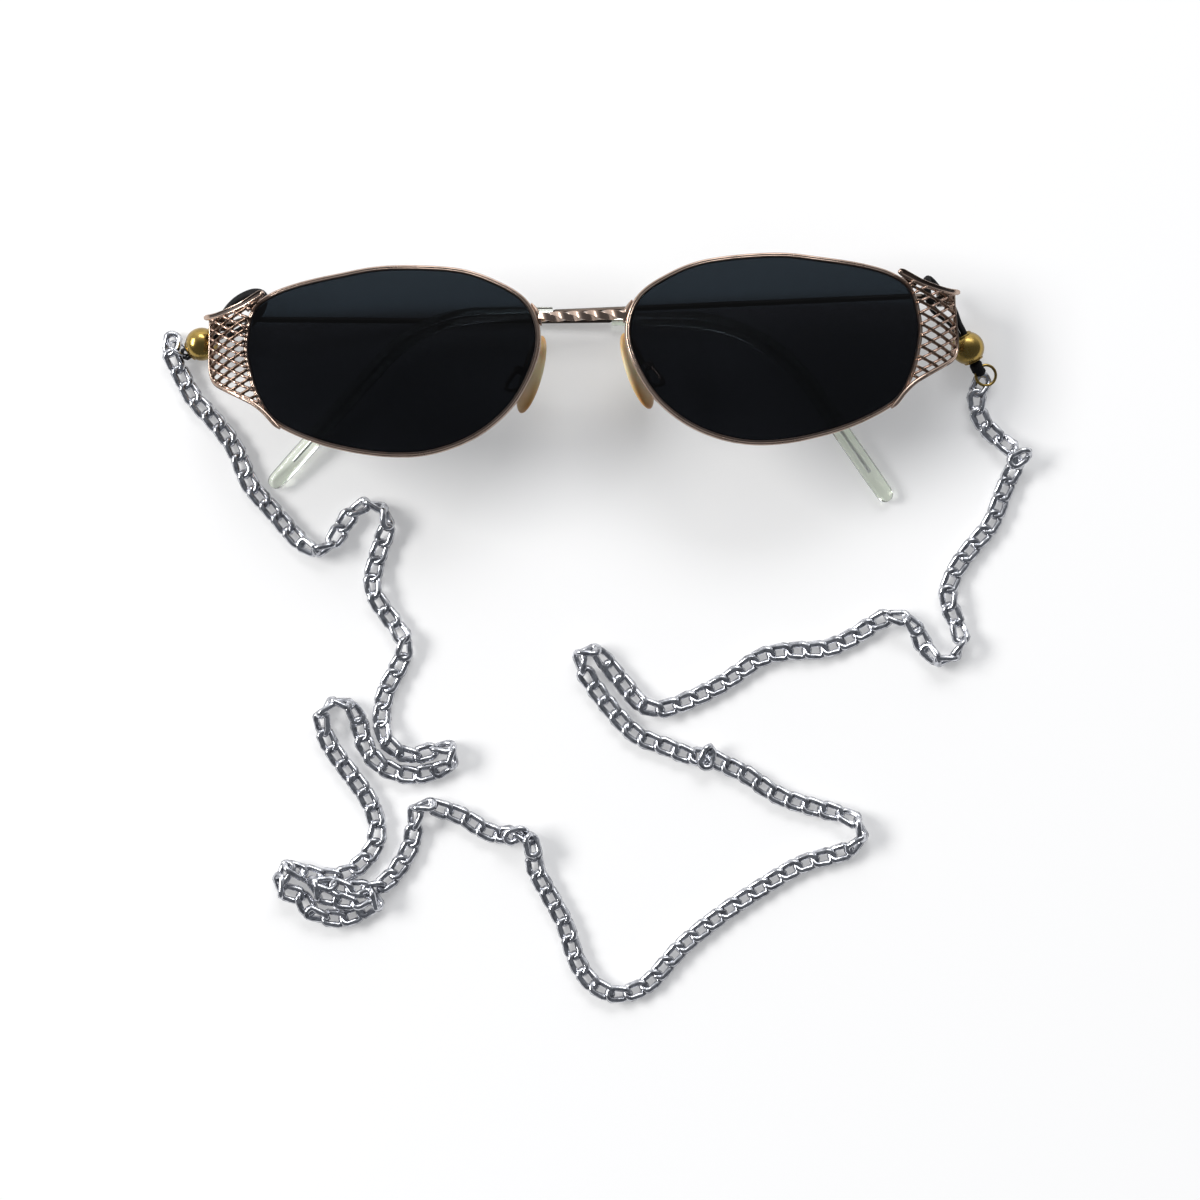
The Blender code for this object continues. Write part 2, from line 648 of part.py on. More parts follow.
def lattice_outline():
    """The panel's opening between rim and rails, as (arc length, y) points, unrolled flat."""
    clear = FIT_GAP + LATTICE_THICKNESS / 2
    side_line = even_points(smooth_line(SIDE_RAIL_ROUTE), 81)
    top_line = even_points(smooth_line(TOP_RAIL_ROUTE), 41)
    rim_line = [(p.x, p.y) for p in rim_outer_points() if p.x > lens_centre_x() + LENS_WIDTH / 4]
    rim_line.sort(key=lambda p: p[1])
    rim_line = even_points(smooth_line(rim_line), 81)
    post = set_in(side_line, [clear + SIDE_RAIL_WIDTH / 2] * 81)
    head = set_in(top_line, clear + top_rail_widths(top_line) / 2)
    edge = set_in(rim_line, [clear] * 81)
    edge_arc, edge_y = zip(*edge)

    def beyond_rim(line):
        return [(a, y) for a, y in line if a > np.interp(y, edge_y, edge_arc) + LATTICE_SMALLEST_EDGE]

    def thinned(line):
        return line[:-2:4] + [line[-1]]

    top = head[-1][1]
    corner = (np.interp(top, [y for _, y in post][::-1], [a for a, _ in post][::-1]) - 0.1, top)
    post = [(a, y) for a, y in beyond_rim(post) if y < top - LATTICE_SMALLEST_EDGE]
    head = [(a, y) for a, y in beyond_rim(head) if a < corner[0] - LATTICE_SMALLEST_EDGE]
    edge = [(a, y) for a, y in edge if post[-1][1] + LATTICE_SMALLEST_EDGE < y < head[0][1] - LATTICE_SMALLEST_EDGE]
    return thinned(post[::-1]) + [corner] + thinned(head[::-1]) + thinned(edge[::-1])


def make_lattice(word, side):
    """The diamond mesh: the opening is divided along two families of slanted lines, rolled onto
    the panel's arc, and each remaining edge becomes a strand."""
    bm = bmesh.new()
    outline = lattice_outline()
    bm.faces.new([bm.verts.new(metres((a, y, 0.0))) for a, y in outline])
    slope = LATTICE_CELL_HEIGHT / LATTICE_CELL_WIDTH
    for sign in (1, -1):
        levels = [y - sign * slope * a for a, y in outline]
        first = math.floor(min(levels) / LATTICE_CELL_HEIGHT)
        last = math.ceil(max(levels) / LATTICE_CELL_HEIGHT)
        for step in range(first, last + 1):
            bmesh.ops.bisect_plane(
                bm,
                geom=bm.verts[:] + bm.edges[:] + bm.faces[:],
                dist=0.000001,
                plane_co=metres((0.0, step * LATTICE_CELL_HEIGHT + LATTICE_SHIFT, 0.0)),
                plane_no=Vector((-sign * slope, 1.0, 0.0)).normalized(),
            )
    bmesh.ops.remove_doubles(bm, verts=bm.verts, dist=LATTICE_SMALLEST_EDGE * MM)
    bmesh.ops.dissolve_degenerate(bm, edges=bm.edges, dist=0.000001)
    for vert in bm.verts:
        x, y, z = panel_point(vert.co.x / MM / PANEL_BEND_RADIUS, vert.co.y / MM)
        vert.co = metres((side * x, y, z))
    name = f"lattice_{word}"
    lattice = finish_object(name, mesh_of(name, bm, smooth=False), ROSE_GOLD)
    strands = lattice.modifiers.new("strands", "WIREFRAME")
    strands.thickness = LATTICE_THICKNESS * MM
    strands.use_boundary = True
    strands.use_replace = True
    strands.use_even_offset = False
    strands.use_relative_offset = False


# Rim locks

def lock_frame(side):
    """At the rim lock, behind the rim's outer edge: X out from the lens, Z towards the front."""
    index = int(LENS_STEPS * LOCK_STATION) % LENS_STEPS
    (x, y), (nx, ny) = OUTLINE[index]
    out = RIM_WIDTH + FIT_GAP + LOCK_WIDTH / 2
    px, py = x + nx * out, y + ny * out
    local = Matrix.Translation(metres((side * px, py, LOCK_RISE - lens_drop(px, py))))
    turn = Matrix.Rotation(math.atan2(ny, side * nx), 4, "Z")
    return lens_matrix(side) @ local @ turn


def make_rim_lock(word, side):
    frame = lock_frame(side)
    lock = block(f"rim_lock_{word}", (LOCK_WIDTH, LOCK_LENGTH, LOCK_DEPTH), frame, ROSE_GOLD)
    along = frame @ Matrix.Rotation(math.radians(-90.0), 4, "X")
    bore = cylinder(
        f"lock_bore_{word}", LOCK_SCREW_RADIUS + FIT_GAP, LOCK_LENGTH * 2, along, collection=CUTTERS, steps=12
    )
    combine(lock, bore, "DIFFERENCE")
    half = LOCK_LENGTH / 2
    head = half + FIT_GAP
    profile = [
        (0.0, head + LOCK_HEAD_HEIGHT), (LOCK_HEAD_RADIUS, head + LOCK_HEAD_HEIGHT), (LOCK_HEAD_RADIUS, head),
        (LOCK_SCREW_RADIUS, head), (LOCK_SCREW_RADIUS, -half), (0.0, -half),
    ]
    turned(f"lock_screw_{word}", profile, along, STEEL, steps=12)


# Hinges

def knuckle_frame(side, offset=0.0):
    return frame_at((side * HINGE_X, HINGE_Y + offset, HINGE_Z), (0.0, 1.0, 0.0))


def make_hinge_front(word, side):
    """Two knuckles on a leaf that reaches out to the back of the top rail."""
    middle_x, middle_z = panel_centre()
    out = Vector((HINGE_X - middle_x, 0.0, HINGE_Z - middle_z))
    reach = PANEL_BEND_RADIUS - RAIL_DEPTH / 2 - FIT_GAP - out.length
    out.normalize()
    direction = Vector((side * out.x, 0.0, out.z))
    height = KNUCKLE_HEIGHT + 2 * KNUCKLE_GAP + 2 * FRONT_KNUCKLE_HEIGHT
    name = f"hinge_front_{word}"
    barrel = cylinder(name, KNUCKLE_RADIUS, height, knuckle_frame(side), ROSE_GOLD)
    start = Vector((side * HINGE_X, HINGE_Y, HINGE_Z))
    leaf_frame = frame_at(start + direction * reach / 2, direction, (0.0, 1.0, 0.0))
    leaf = block(f"leaf_{word}", (height, HINGE_LEAF_WIDTH, reach), leaf_frame, collection=CUTTERS)
    slot = cylinder(
        f"slot_{word}", KNUCKLE_RADIUS + FIT_GAP, KNUCKLE_HEIGHT + 2 * KNUCKLE_GAP, knuckle_frame(side),
        collection=CUTTERS, steps=20,
    )
    bore = cylinder(f"bore_{word}", HINGE_BORE_RADIUS, height * 2, knuckle_frame(side), collection=CUTTERS)
    combine(barrel, leaf, "UNION")
    combine(barrel, slot, "DIFFERENCE")
    combine(barrel, bore, "DIFFERENCE")


def make_hinge_screw(word, side):
    half = KNUCKLE_HEIGHT / 2 + KNUCKLE_GAP + FRONT_KNUCKLE_HEIGHT
    head = half + FIT_GAP
    profile = [
        (0.0, head + HINGE_HEAD_HEIGHT), (HINGE_HEAD_RADIUS, head + HINGE_HEAD_HEIGHT),
        (HINGE_HEAD_RADIUS, head), (HINGE_SCREW_RADIUS, head), (HINGE_SCREW_RADIUS, -half), (0.0, -half),
    ]
    turned(f"hinge_screw_{word}", profile, knuckle_frame(side), STEEL)


# Temples

def temple_line(word, side):
    """Points along a folded temple from its hinge, with the length run at each."""
    bend = math.radians(TEMPLE_BEND_ANGLE[word])
    radius = TEMPLE_BEND_RADIUS[word]
    straight = TEMPLE_STRAIGHT[word]
    flat = [(0.0, 0.0, 0.0), (1.7, 0.0, 1.7)]
    flat += [(s, TEMPLE_RISE, s) for s in (4.0, 40.0, 58.0, SLEEVE_START - 0.4, SLEEVE_START, 80.0)]
    for step in range(9):
        angle = bend * step / 8
        flat.append((
            straight + radius * math.sin(angle),
            TEMPLE_RISE - radius * (1 - math.cos(angle)),
            straight + radius * angle,
        ))
    x, y, run = flat[-1]
    for share in (0.25, 0.5, 0.75, 0.92, 1.0):
        drop = TEMPLE_DROP[word] * share
        flat.append((x + drop * math.cos(bend), y - drop * math.sin(bend), run + drop))
    lean = math.radians(TEMPLE_LEAN[word])
    whole = flat[-1][2]
    shares, heights = zip(*TEMPLE_HEIGHTS[word])
    line = []
    for x, y, run in flat:
        px = x * math.cos(lean) - y * math.sin(lean)
        py = x * math.sin(lean) + y * math.cos(lean)
        height = HINGE_Z - heights[0] + np.interp(run / whole, shares, heights)
        line.append(((side * (HINGE_X - px), HINGE_Y + py, height), run))
    return line


def line_between(line, first, last):
    """The part of a temple's line between two run lengths, cut to end on them."""
    runs = [run for _, run in line]

    def at(run):
        return (tuple(np.interp(run, runs, [p[k] for p, _ in line]) for k in range(3)), run)

    inner = [(p, run) for p, run in line if first + 0.1 < run < last - 0.1]
    return [at(first)] + inner + [at(last)]


def make_temple(word, side):
    line = temple_line(word, side)
    kept = line_between(line, (HINGE_BORE_RADIUS + KNUCKLE_RADIUS) / 2, line[-1][1] - CORE_END_GAP)
    thin = CORE_WIRE_RADIUS / TEMPLE_WIRE_RADIUS
    radii = [1.0 if run < SLEEVE_START - 0.2 else thin for _, run in kept]
    name = f"temple_{word}"
    wire = meshed(tube(f"wire_{word}", [p for p, _ in kept], TEMPLE_WIRE_RADIUS, STEEL, radii), CUTTERS)
    knuckle = cylinder(name, KNUCKLE_RADIUS, KNUCKLE_HEIGHT, knuckle_frame(side), STEEL)
    bore = cylinder(f"temple_bore_{word}", HINGE_BORE_RADIUS, KNUCKLE_HEIGHT * 2, knuckle_frame(side),
                    collection=CUTTERS)
    combine(knuckle, wire, "UNION")
    combine(knuckle, bore, "DIFFERENCE")


def make_temple_tip(word, side):
    """The clear sleeve: oval rings along the temple's end, bored for the core wire."""
    line = [(p, run) for p, run in temple_line(word, side) if run >= SLEEVE_START]
    whole = line[-1][1]
    rings = []
    rows = [p for p, _ in line]
    shares = [0.0, 0.25, 1.0]
    widths = [SLEEVE_START_WIDTH, SLEEVE_WIDTH * 0.9, SLEEVE_WIDTH]
    depths = [SLEEVE_START_WIDTH, SLEEVE_THICKNESS, SLEEVE_THICKNESS]
    for i, (point, run) in enumerate(line):
        share = (run - SLEEVE_START) / (whole - SLEEVE_START)
        half_width = np.interp(share, shares, widths) / 2
        half_depth = np.interp(share, shares, depths) / 2
        if i == len(line) - 1:
            half_width *= 0.45
            half_depth *= 0.6
        ahead = Vector(rows[min(i + 1, len(rows) - 1)]) - Vector(rows[max(i - 1, 0)])
        across = Vector((0.0, 0.0, 1.0)).cross(ahead).normalized()
        up = ahead.cross(across).normalized()
        turn = [2 * math.pi * k / 10 for k in range(10)]
        rings.append([
            Vector(point) + across * half_width * math.cos(t) + up * half_depth * math.sin(t) for t in turn
        ])
    name = f"temple_tip_{word}"
    tip = finish_object(name, loft(name, rings), CLEAR_TIP)
    inside = line_between(temple_line(word, side), SLEEVE_START - 0.5, whole - CORE_END_GAP + 0.5)
    bore = tube(f"core_bore_{word}", [p for p, _ in inside], CORE_WIRE_RADIUS + FIT_GAP, None)
    combine(tip, meshed(bore, CUTTERS), "DIFFERENCE")


# Nose pads

def pad_frame(side):
    """At a pad's screw: X out of the pad's back, Y up its length, Z along its width to the front."""
    splay = math.radians(PAD_SPLAY_ANGLE)
    frontal = math.radians(PAD_FRONTAL_ANGLE)
    place = Matrix.Translation(metres((side * PAD_PIVOT[0], PAD_PIVOT[1], PAD_PIVOT[2])))
    turn = Matrix.Rotation(side * frontal, 4, "Z") @ Matrix.Rotation(-side * splay, 4, "Y")
    return place @ turn


def make_nose_pad(word, side):
    """A soft oval plate, round at its rim, with a thin lug on its back for the screw."""
    frame = pad_frame(side)
    bm = bmesh.new()
    bmesh.ops.create_uvsphere(bm, u_segments=14, v_segments=8, radius=1.0)
    half = Vector((PAD_THICKNESS / 2, PAD_LENGTH / 2, PAD_WIDTH / 2)) * MM
    for vert in bm.verts:
        x, y, z = vert.co
        edge = min(1.0, math.hypot(y, z))
        plate = math.copysign((1.0 - edge**4) ** 0.5, x) if abs(x) > 0.0001 else 0.0
        vert.co = Vector((plate * half.x - side * PAD_PIVOT_OFFSET * MM, y * half.y, z * half.z))
    name = f"nose_pad_{word}"
    pad = finish_object(name, mesh_of(name, bm), CLEAR_PAD, frame)
    lug_length = PAD_PIVOT_OFFSET
    lug = block(
        f"lug_{word}", (lug_length, PAD_LUG_RADIUS * 1.6, PAD_LUG_THICKNESS),
        frame @ Matrix.Translation(metres((-side * lug_length / 2, 0.0, 0.0))), collection=CUTTERS,
    )
    eye = cylinder(f"eye_{word}", PAD_LUG_RADIUS, PAD_LUG_THICKNESS, frame, collection=CUTTERS)
    bore = cylinder(f"pad_bore_{word}", PAD_BORE_RADIUS, PAD_WIDTH, frame, collection=CUTTERS, steps=12)
    combine(pad, lug, "UNION")
    combine(pad, eye, "UNION")
    combine(pad, bore, "DIFFERENCE")


def make_pad_arm(word, side):
    """A bent wire from the back of the rim to a fork that holds the pad's lug."""
    frame = pad_frame(side)
    slot = PAD_LUG_THICKNESS / 2 + FIT_GAP
    depth = 2 * (slot + PAD_FORK_THICKNESS)
    name = f"pad_arm_{word}"
    reach = PAD_FORK_REACH
    fork = block(
        name, (reach, PAD_LUG_RADIUS * 2, depth),
        frame @ Matrix.Translation(metres((side * (reach / 2 - 0.35), 0.0, 0.0))), STEEL,
    )
    end = frame @ metres((side * (reach - 0.5), 0.0, 0.0)) / MM
    route = mirror_x(PAD_ARM_ROUTE, side) + [tuple(end)]
    line = even_points(smooth_line(route), 14)
    wire = meshed(tube(f"pad_wire_{word}", line, PAD_ARM_RADIUS, STEEL), CUTTERS)
    gap = block(
        f"fork_gap_{word}", (2 * (PAD_LUG_RADIUS + FIT_GAP), PAD_LENGTH, 2 * slot), frame, collection=CUTTERS
    )
    bore = cylinder(f"fork_bore_{word}", PAD_BORE_RADIUS, PAD_WIDTH, frame, collection=CUTTERS, steps=12)
    combine(fork, wire, "UNION")
    combine(fork, gap, "DIFFERENCE")
    combine(fork, bore, "DIFFERENCE")
    half = depth / 2
    head = half + FIT_GAP
    profile = [
        (0.0, head + 0.3), (PAD_SCREW_RADIUS * 2, head + 0.3), (PAD_SCREW_RADIUS * 2, head),
        (PAD_SCREW_RADIUS, head), (PAD_SCREW_RADIUS, -half), (0.0, -half),
    ]
    turned(f"pad_screw_{word}", profile, frame, STEEL, steps=12)


# Cord fittings: nooses, beads, end sleeves and jump rings

def bead_axis(word):
    return Vector(BEAD_AXIS[word]).normalized()


def strand_side(word):
    """The direction from the inner strand to the outer one, square to the bead's axis."""
    axis = bead_axis(word)
    return axis.cross(Vector((0.0, 0.0, 1.0))).normalized() * -SIDES[word]


def end_sleeve_middle(word):
    reach = BEAD_LENGTH / 2 + SLEEVE_END_GAP[word] + SLEEVE_END_LENGTH / 2
    return Vector(BEAD_CENTRE[word]) + bead_axis(word) * reach


def make_noose(word, side):
    """One rubber strand: through the bead, round the temple at its hinge, and back through the bead."""
    centre = Vector(BEAD_CENTRE[word])
    axis = bead_axis(word)
    apart = strand_side(word) * STRAND_OFFSET
    back = BEAD_LENGTH / 2 + 0.5
    end = BEAD_LENGTH / 2 + min(0.0, SLEEVE_END_GAP[word] - STRAND_END_GAP)
    inner = [centre - apart + axis * end, centre - apart, centre - apart - axis * back]
    outer = [centre + apart - axis * back, centre + apart, centre + apart + axis * end]
    route = [tuple(p) for p in inner] + NOOSE_ROUTE[word] + [tuple(p) for p in outer]
    line = bend_points(smooth_line(route), 2.6, 25.0)
    swell = NOOSE_SWELL[word] - 1.0
    radii = []
    for i in range(len(line)):
        share = i / (len(line) - 1)
        radii.append(1.0 + swell * max(0.0, 1.0 - ((share - 0.52) / 0.2) ** 2))
    tube(f"noose_{word}", line, NOOSE_RADIUS, BLACK_RUBBER, radii)


def make_bead(word, side):
    half = BEAD_LENGTH / 2
    frame = frame_at(BEAD_CENTRE[word], bead_axis(word), (0.0, 0.0, 1.0))
    ball = [(BEAD_BORE_RADIUS, half), (BEAD_NECK_RADIUS, half)]
    for step in range(1, 8):
        height = half * math.cos(math.pi * step / 8)
        bulge = math.sin(math.pi * step / 8)
        ball.append((BEAD_NECK_RADIUS + (BEAD_RADIUS - BEAD_NECK_RADIUS) * bulge**0.8, height))
    ball += [(BEAD_NECK_RADIUS, -half), (BEAD_BORE_RADIUS, -half), (BEAD_BORE_RADIUS, half)]
    turned(f"bead_{word}", ball, frame, GOLD)


def make_end_sleeve(word, side):
    """The rubber end that holds both strands, with a cross hole for the jump ring."""
    middle = end_sleeve_middle(word)
    axis = bead_axis(word)
    half = SLEEVE_END_LENGTH / 2
    soft = SLEEVE_END_RADIUS * 0.6
    profile = [
        (0.0, half), (soft, half), (SLEEVE_END_RADIUS, half - 0.5), (SLEEVE_END_RADIUS, 0.5 - half),
        (soft, -half), (0.0, -half),
    ]
    sleeve = turned(f"end_sleeve_{word}", profile, frame_at(middle, axis, (0.0, 0.0, 1.0)), BLACK_RUBBER)
    hole = cylinder(
        f"ring_hole_{word}", RING_HOLE_RADIUS, SLEEVE_END_RADIUS * 4,
        frame_at(ring_seat(word), ring_axes(word)[1], axis), collection=CUTTERS, steps=12,
    )
    combine(sleeve, hole, "DIFFERENCE")


def ring_seat(word):
    return end_sleeve_middle(word) + bead_axis(word) * RING_SEAT[word]


def ring_axes(word):
    """The way from the hole to the ring's middle, and the way the ring runs through the hole."""
    out = Vector(RING_DIRECTION[word]).normalized()
    level = Vector((0.0, 0.0, 1.0)).cross(out).normalized()
    roll = math.radians(RING_ROLL[word])
    return out, level * math.cos(roll) + out.cross(level) * math.sin(roll)


def make_jump_ring(word, side):
    out, tangent = ring_axes(word)
    centre = ring_seat(word) + out * (RING_RADIUS - RING_SET_IN)
    name = f"jump_ring_{word}"
    spin = [2 * math.pi * step / RING_STEPS for step in range(RING_STEPS)]
    circle = [(math.cos(t), math.sin(t)) for t in (2 * math.pi * step / 8 for step in range(8))]
    rings = []
    for t in spin:
        reach = [(RING_RADIUS + a * RING_WIRE_RADIUS, b * RING_WIRE_RADIUS) for a, b in circle]
        rings.append([(r * math.cos(t), r * math.sin(t), z) for r, z in reach])
    frame = frame_at(centre, out.cross(tangent), out)
    finish_object(name, loft(name, rings, closed=True), GOLD, frame)


# Chain

def make_chain_run(name, route):
    radius = CHAIN_DIAMETER / 2
    line = bend_points(smooth_line([(x, y, radius) for x, y in route]), CHAIN_STEP, CHAIN_TURN)
    tube(name, line, radius, CHROME)


def make_chain_pile():
    outline = even_points(smooth_line(PILE_OUTLINE, closed=True), 36, closed=True)
    shrunk = PILE_ROUNDING * 0.3

    def ring(height, inset):
        middle = np.mean(np.array(outline), axis=0)
        rows = []
        for x, y in outline:
            away = np.array((x, y)) - middle
            away = away * (1 - inset / np.linalg.norm(away))
            rows.append((middle[0] + away[0], middle[1] + away[1], height))
        return rows

    rings = [
        ring(0.0, PILE_ROUNDING), ring(shrunk, shrunk), ring(PILE_ROUNDING, 0.0),
        ring(PILE_HEIGHT - PILE_ROUNDING, 0.0), ring(PILE_HEIGHT - shrunk, shrunk), ring(PILE_HEIGHT, PILE_ROUNDING),
    ]
    finish_object("chain_pile", loft("chain_pile", rings), CHROME)


make_bridge()
for word, side in SIDES.items():
    make_lens(word, side)
    make_rim(word, side)
    make_top_rail(word, side)
    make_side_rail(word, side)
    make_lattice(word, side)
    make_rim_lock(word, side)
    make_hinge_front(word, side)
    make_hinge_screw(word, side)
    make_temple(word, side)
    make_temple_tip(word, side)
    make_nose_pad(word, side)
    make_pad_arm(word, side)
    make_noose(word, side)
    make_bead(word, side)
    make_end_sleeve(word, side)
    make_jump_ring(word, side)
make_chain_run("chain_left", CHAIN_LEFT_ROUTE)
make_chain_run("chain_right", CHAIN_RIGHT_ROUTE)
make_chain_pile()
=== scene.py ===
# Metal sunglasses folded on a white table, with their silver curb chain laid out below them.
import math

import bmesh
import bpy
import numpy as np
from mathutils import Matrix, Vector


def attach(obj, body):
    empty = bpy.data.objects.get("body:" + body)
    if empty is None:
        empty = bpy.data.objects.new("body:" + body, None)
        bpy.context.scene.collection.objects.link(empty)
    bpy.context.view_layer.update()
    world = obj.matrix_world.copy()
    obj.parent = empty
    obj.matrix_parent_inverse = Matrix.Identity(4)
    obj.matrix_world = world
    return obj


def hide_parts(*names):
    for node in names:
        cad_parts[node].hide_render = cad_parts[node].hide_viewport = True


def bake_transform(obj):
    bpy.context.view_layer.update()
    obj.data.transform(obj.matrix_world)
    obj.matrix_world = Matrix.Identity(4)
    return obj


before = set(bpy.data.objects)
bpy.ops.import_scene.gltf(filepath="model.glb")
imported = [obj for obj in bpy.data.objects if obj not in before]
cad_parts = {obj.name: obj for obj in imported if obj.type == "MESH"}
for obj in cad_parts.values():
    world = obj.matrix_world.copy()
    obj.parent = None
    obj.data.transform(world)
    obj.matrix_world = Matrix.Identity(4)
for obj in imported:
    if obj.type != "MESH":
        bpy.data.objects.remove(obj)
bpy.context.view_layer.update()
lensLine = 5.5  # mm from the row's middle up to the line through the lens centres
sides = (("left", -1), ("right", 1))


# A point in mm from the lens line, as metres in the row frame
def metres(point):
    return (point[0] * 0.001, (point[1] + lensLine) * 0.001, point[2] * 0.001)


def deselect():
    if bpy.context.object and bpy.context.object.mode != "OBJECT":
        bpy.ops.object.mode_set(mode="OBJECT")
    bpy.ops.object.select_all(action="DESELECT")


def choose(*pieces):
    deselect()
    for piece in pieces:
        piece.select_set(True)
    bpy.context.view_layer.objects.active = pieces[0]


deselect()

# Camera: straight above, 50 cm up, turned a little with the photograph
view = {"place": (1.517, -45.59, 500.0), "turn": -1.94, "lens": 78.06}
bpy.ops.object.camera_add(location=metres(view["place"]), rotation=(0, 0, math.radians(view["turn"])))
camera = bpy.context.object
camera.data.lens = view["lens"]
camera.data.sensor_width = 36
camera.data.clip_start = 0.01
bpy.context.scene.camera = camera
print("camera placed")

# Shader nodes

# Sets inputs of a node, each to a value or to another node's output
def wired(tree, node, inputs):
    for socket, value in inputs.items():
        if isinstance(value, bpy.types.NodeSocket):
            tree.links.new(value, node.inputs[socket])
        else:
            node.inputs[socket].default_value = value
    return node


def added(tree, kind, inputs=None, **settings):
    node = tree.nodes.new("ShaderNode" + kind)
    for name, value in settings.items():
        setattr(node, name, value)
    return wired(tree, node, inputs or {})


# The result of a maths node
def worked(tree, operation, *values, **settings):
    return added(tree, "Math", dict(enumerate(values)), operation=operation, **settings).outputs[0]


def mixed(tree, share, first, second):
    return added(tree, "Mix", {"Factor": share, "A": first, "B": second}, data_type="RGBA").outputs["Result"]


# The colour of a ramp between two stops, each a position and a colour
def ramped(tree, share, *stops):
    ramp = added(tree, "ValToRGB", {"Fac": share})
    for stop, (position, colour) in zip(ramp.color_ramp.elements, stops):
        stop.position = position
        stop.color = (*colour, 1)
    return ramp.outputs["Color"]


# Sets inputs of a material's main shader
def shaded(material, inputs):
    return wired(material.node_tree, material.node_tree.nodes["Principled BSDF"], inputs)


def newMaterial(name, colour, metallic=0.0, roughness=0.4, **sockets):
    material = bpy.data.materials.new(name)
    material.use_nodes = True
    shaded(material, {"Base Color": (*colour, 1), "Metallic": metallic, "Roughness": roughness})
    shaded(material, {socket.replace("_", " "): value for socket, value in sockets.items()})
    return material


# Table and light
table = {"half": 1.6, "colour": (0.985, 0.985, 0.99), "glow": (1, 1, 1, 1), "white": 0.3}
bpy.ops.mesh.primitive_plane_add(size=2 * table["half"], location=(0, 0, 0))
floor = bpy.context.object
floor.name = "table_top"
floorMaterial = newMaterial("white table", table["colour"], 0.0, 0.9, Specular_IOR_Level=0.1)
floorTree = floorMaterial.node_tree
# the table is part plain white to the camera, in metal and through glass, so that its shadows stay pale
floorPath = added(floorTree, "LightPath")
floorSeen = worked(floorTree, "ADD", floorPath.outputs["Is Camera Ray"], floorPath.outputs["Is Glossy Ray"],
                   use_clamp=True)
floorClear = worked(floorTree, "ADD", floorSeen, floorPath.outputs["Is Transmission Ray"], use_clamp=True)
floorShare = worked(floorTree, "MULTIPLY", floorClear, table["white"])
floorGlow = added(floorTree, "Emission", {"Color": table["glow"]})
floorMix = added(floorTree, "MixShader", {
    0: floorShare, 1: floorTree.nodes["Principled BSDF"].outputs[0], 2: floorGlow.outputs[0],
})
wired(floorTree, floorTree.nodes["Material Output"], {"Surface": floorMix.outputs[0]})
floor.data.materials.append(floorMaterial)

lamps = {
    # name: (place in metres, width, height, watts, colour)
    "key": ((-3.0, 0.75, 1.8), 2.1, 0.9, 138.0, (1, 0.99, 0.97)),
    "back": ((0.45, 2.55, 1.9), 2.25, 0.9, 40.0, (0.99, 0.99, 1)),
}
for name, (place, width, height, watts, colour) in lamps.items():
    bpy.ops.object.light_add(type="AREA", location=place)
    lamp = bpy.context.object
    lamp.name = name
    lamp.data.shape = "RECTANGLE"
    lamp.data.size = width
    lamp.data.size_y = height
    lamp.data.energy = watts
    lamp.data.color = colour
    lamp.rotation_euler = (Vector((0, -0.03, 0)) - Vector(place)).to_track_quat("-Z", "Y").to_euler()

world = bpy.data.worlds.new("studio")
bpy.context.scene.world = world
world.use_nodes = True
sky = world.node_tree
skyPlace = added(sky, "TexCoord")
skyParts = added(sky, "SeparateXYZ", {0: skyPlace.outputs["Generated"]})
skyBack = worked(sky, "MAXIMUM", skyParts.outputs["Y"], 0.0)
# dim overhead, at the sides and in front, and bright at the far horizon
skyFar = worked(sky, "MULTIPLY", skyBack, skyBack)
skyColour = ramped(sky, skyFar, (0.0, (0.095, 0.1, 0.109)), (1.0, (0.98, 0.99, 1.0)))
wired(sky, sky.nodes["Background"], {"Color": skyColour, "Strength": 1.5})
bpy.context.scene.view_settings.view_transform = "Standard"
print("table and lights ready")


# Lines in mm

# A smooth line through points, as an array
def smoothed(points, perSpan=12, closed=False):
    points = np.array(points, dtype=float)
    if closed:
        ends = np.vstack([points[-1], points, points[:2]])
    else:
        ends = np.vstack([2 * points[0] - points[1], points, 2 * points[-1] - points[-2]])
    share = np.linspace(0, 1, perSpan, endpoint=False)[:, None]
    spans = []
    for a, b, c, d in zip(ends, ends[1:], ends[2:], ends[3:]):
        spans.append(0.5 * (2 * b + (c - a) * share + (2 * a - 5 * b + 4 * c - d) * share**2
                            + (3 * b - a - 3 * c + d) * share**3))
    return np.vstack(spans + [points[:1] if closed else points[-1:]])


def runAlong(line):
    return np.concatenate([[0.0], np.cumsum(np.linalg.norm(np.diff(line, axis=0), axis=1))])


def spacedAlong(line, stations):
    along = runAlong(line)
    return np.column_stack([np.interp(stations, along, line[:, k]) for k in range(line.shape[1])])


def evenly(line, count, closed=False):
    return spacedAlong(line, np.linspace(0, runAlong(line)[-1], count, endpoint=not closed))


# Values averaged over their neighbours, with a bell-shaped weight
def softened(values, reach):
    span = int(3 * reach)
    weights = np.exp(-0.5 * (np.arange(-span, span + 1) / reach) ** 2)
    padded = np.concatenate([np.full(span, values[0]), values, np.full(span, values[-1])])
    return np.convolve(padded, weights / weights.sum(), mode="valid")


def unit(v):
    v = np.array(v, dtype=float)
    return v / np.linalg.norm(v)


# Ways of shaping

def dress(piece, *materials):
    for material in materials:
        piece.data.materials.append(material)


# Names a piece, gives it its materials, puts it on its body and lets it stand for its solids
def finished(piece, name, body, nodes, *materials):
    deselect()
    piece.name = name
    piece.data.name = name
    dress(piece, *materials)
    if body:
        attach(piece, body)
    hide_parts(*nodes)
    return piece


# Opens a piece for editing, with all of it selected
def opened(piece):
    choose(piece)
    bpy.ops.object.mode_set(mode="EDIT")
    bpy.ops.mesh.select_all(action="SELECT")


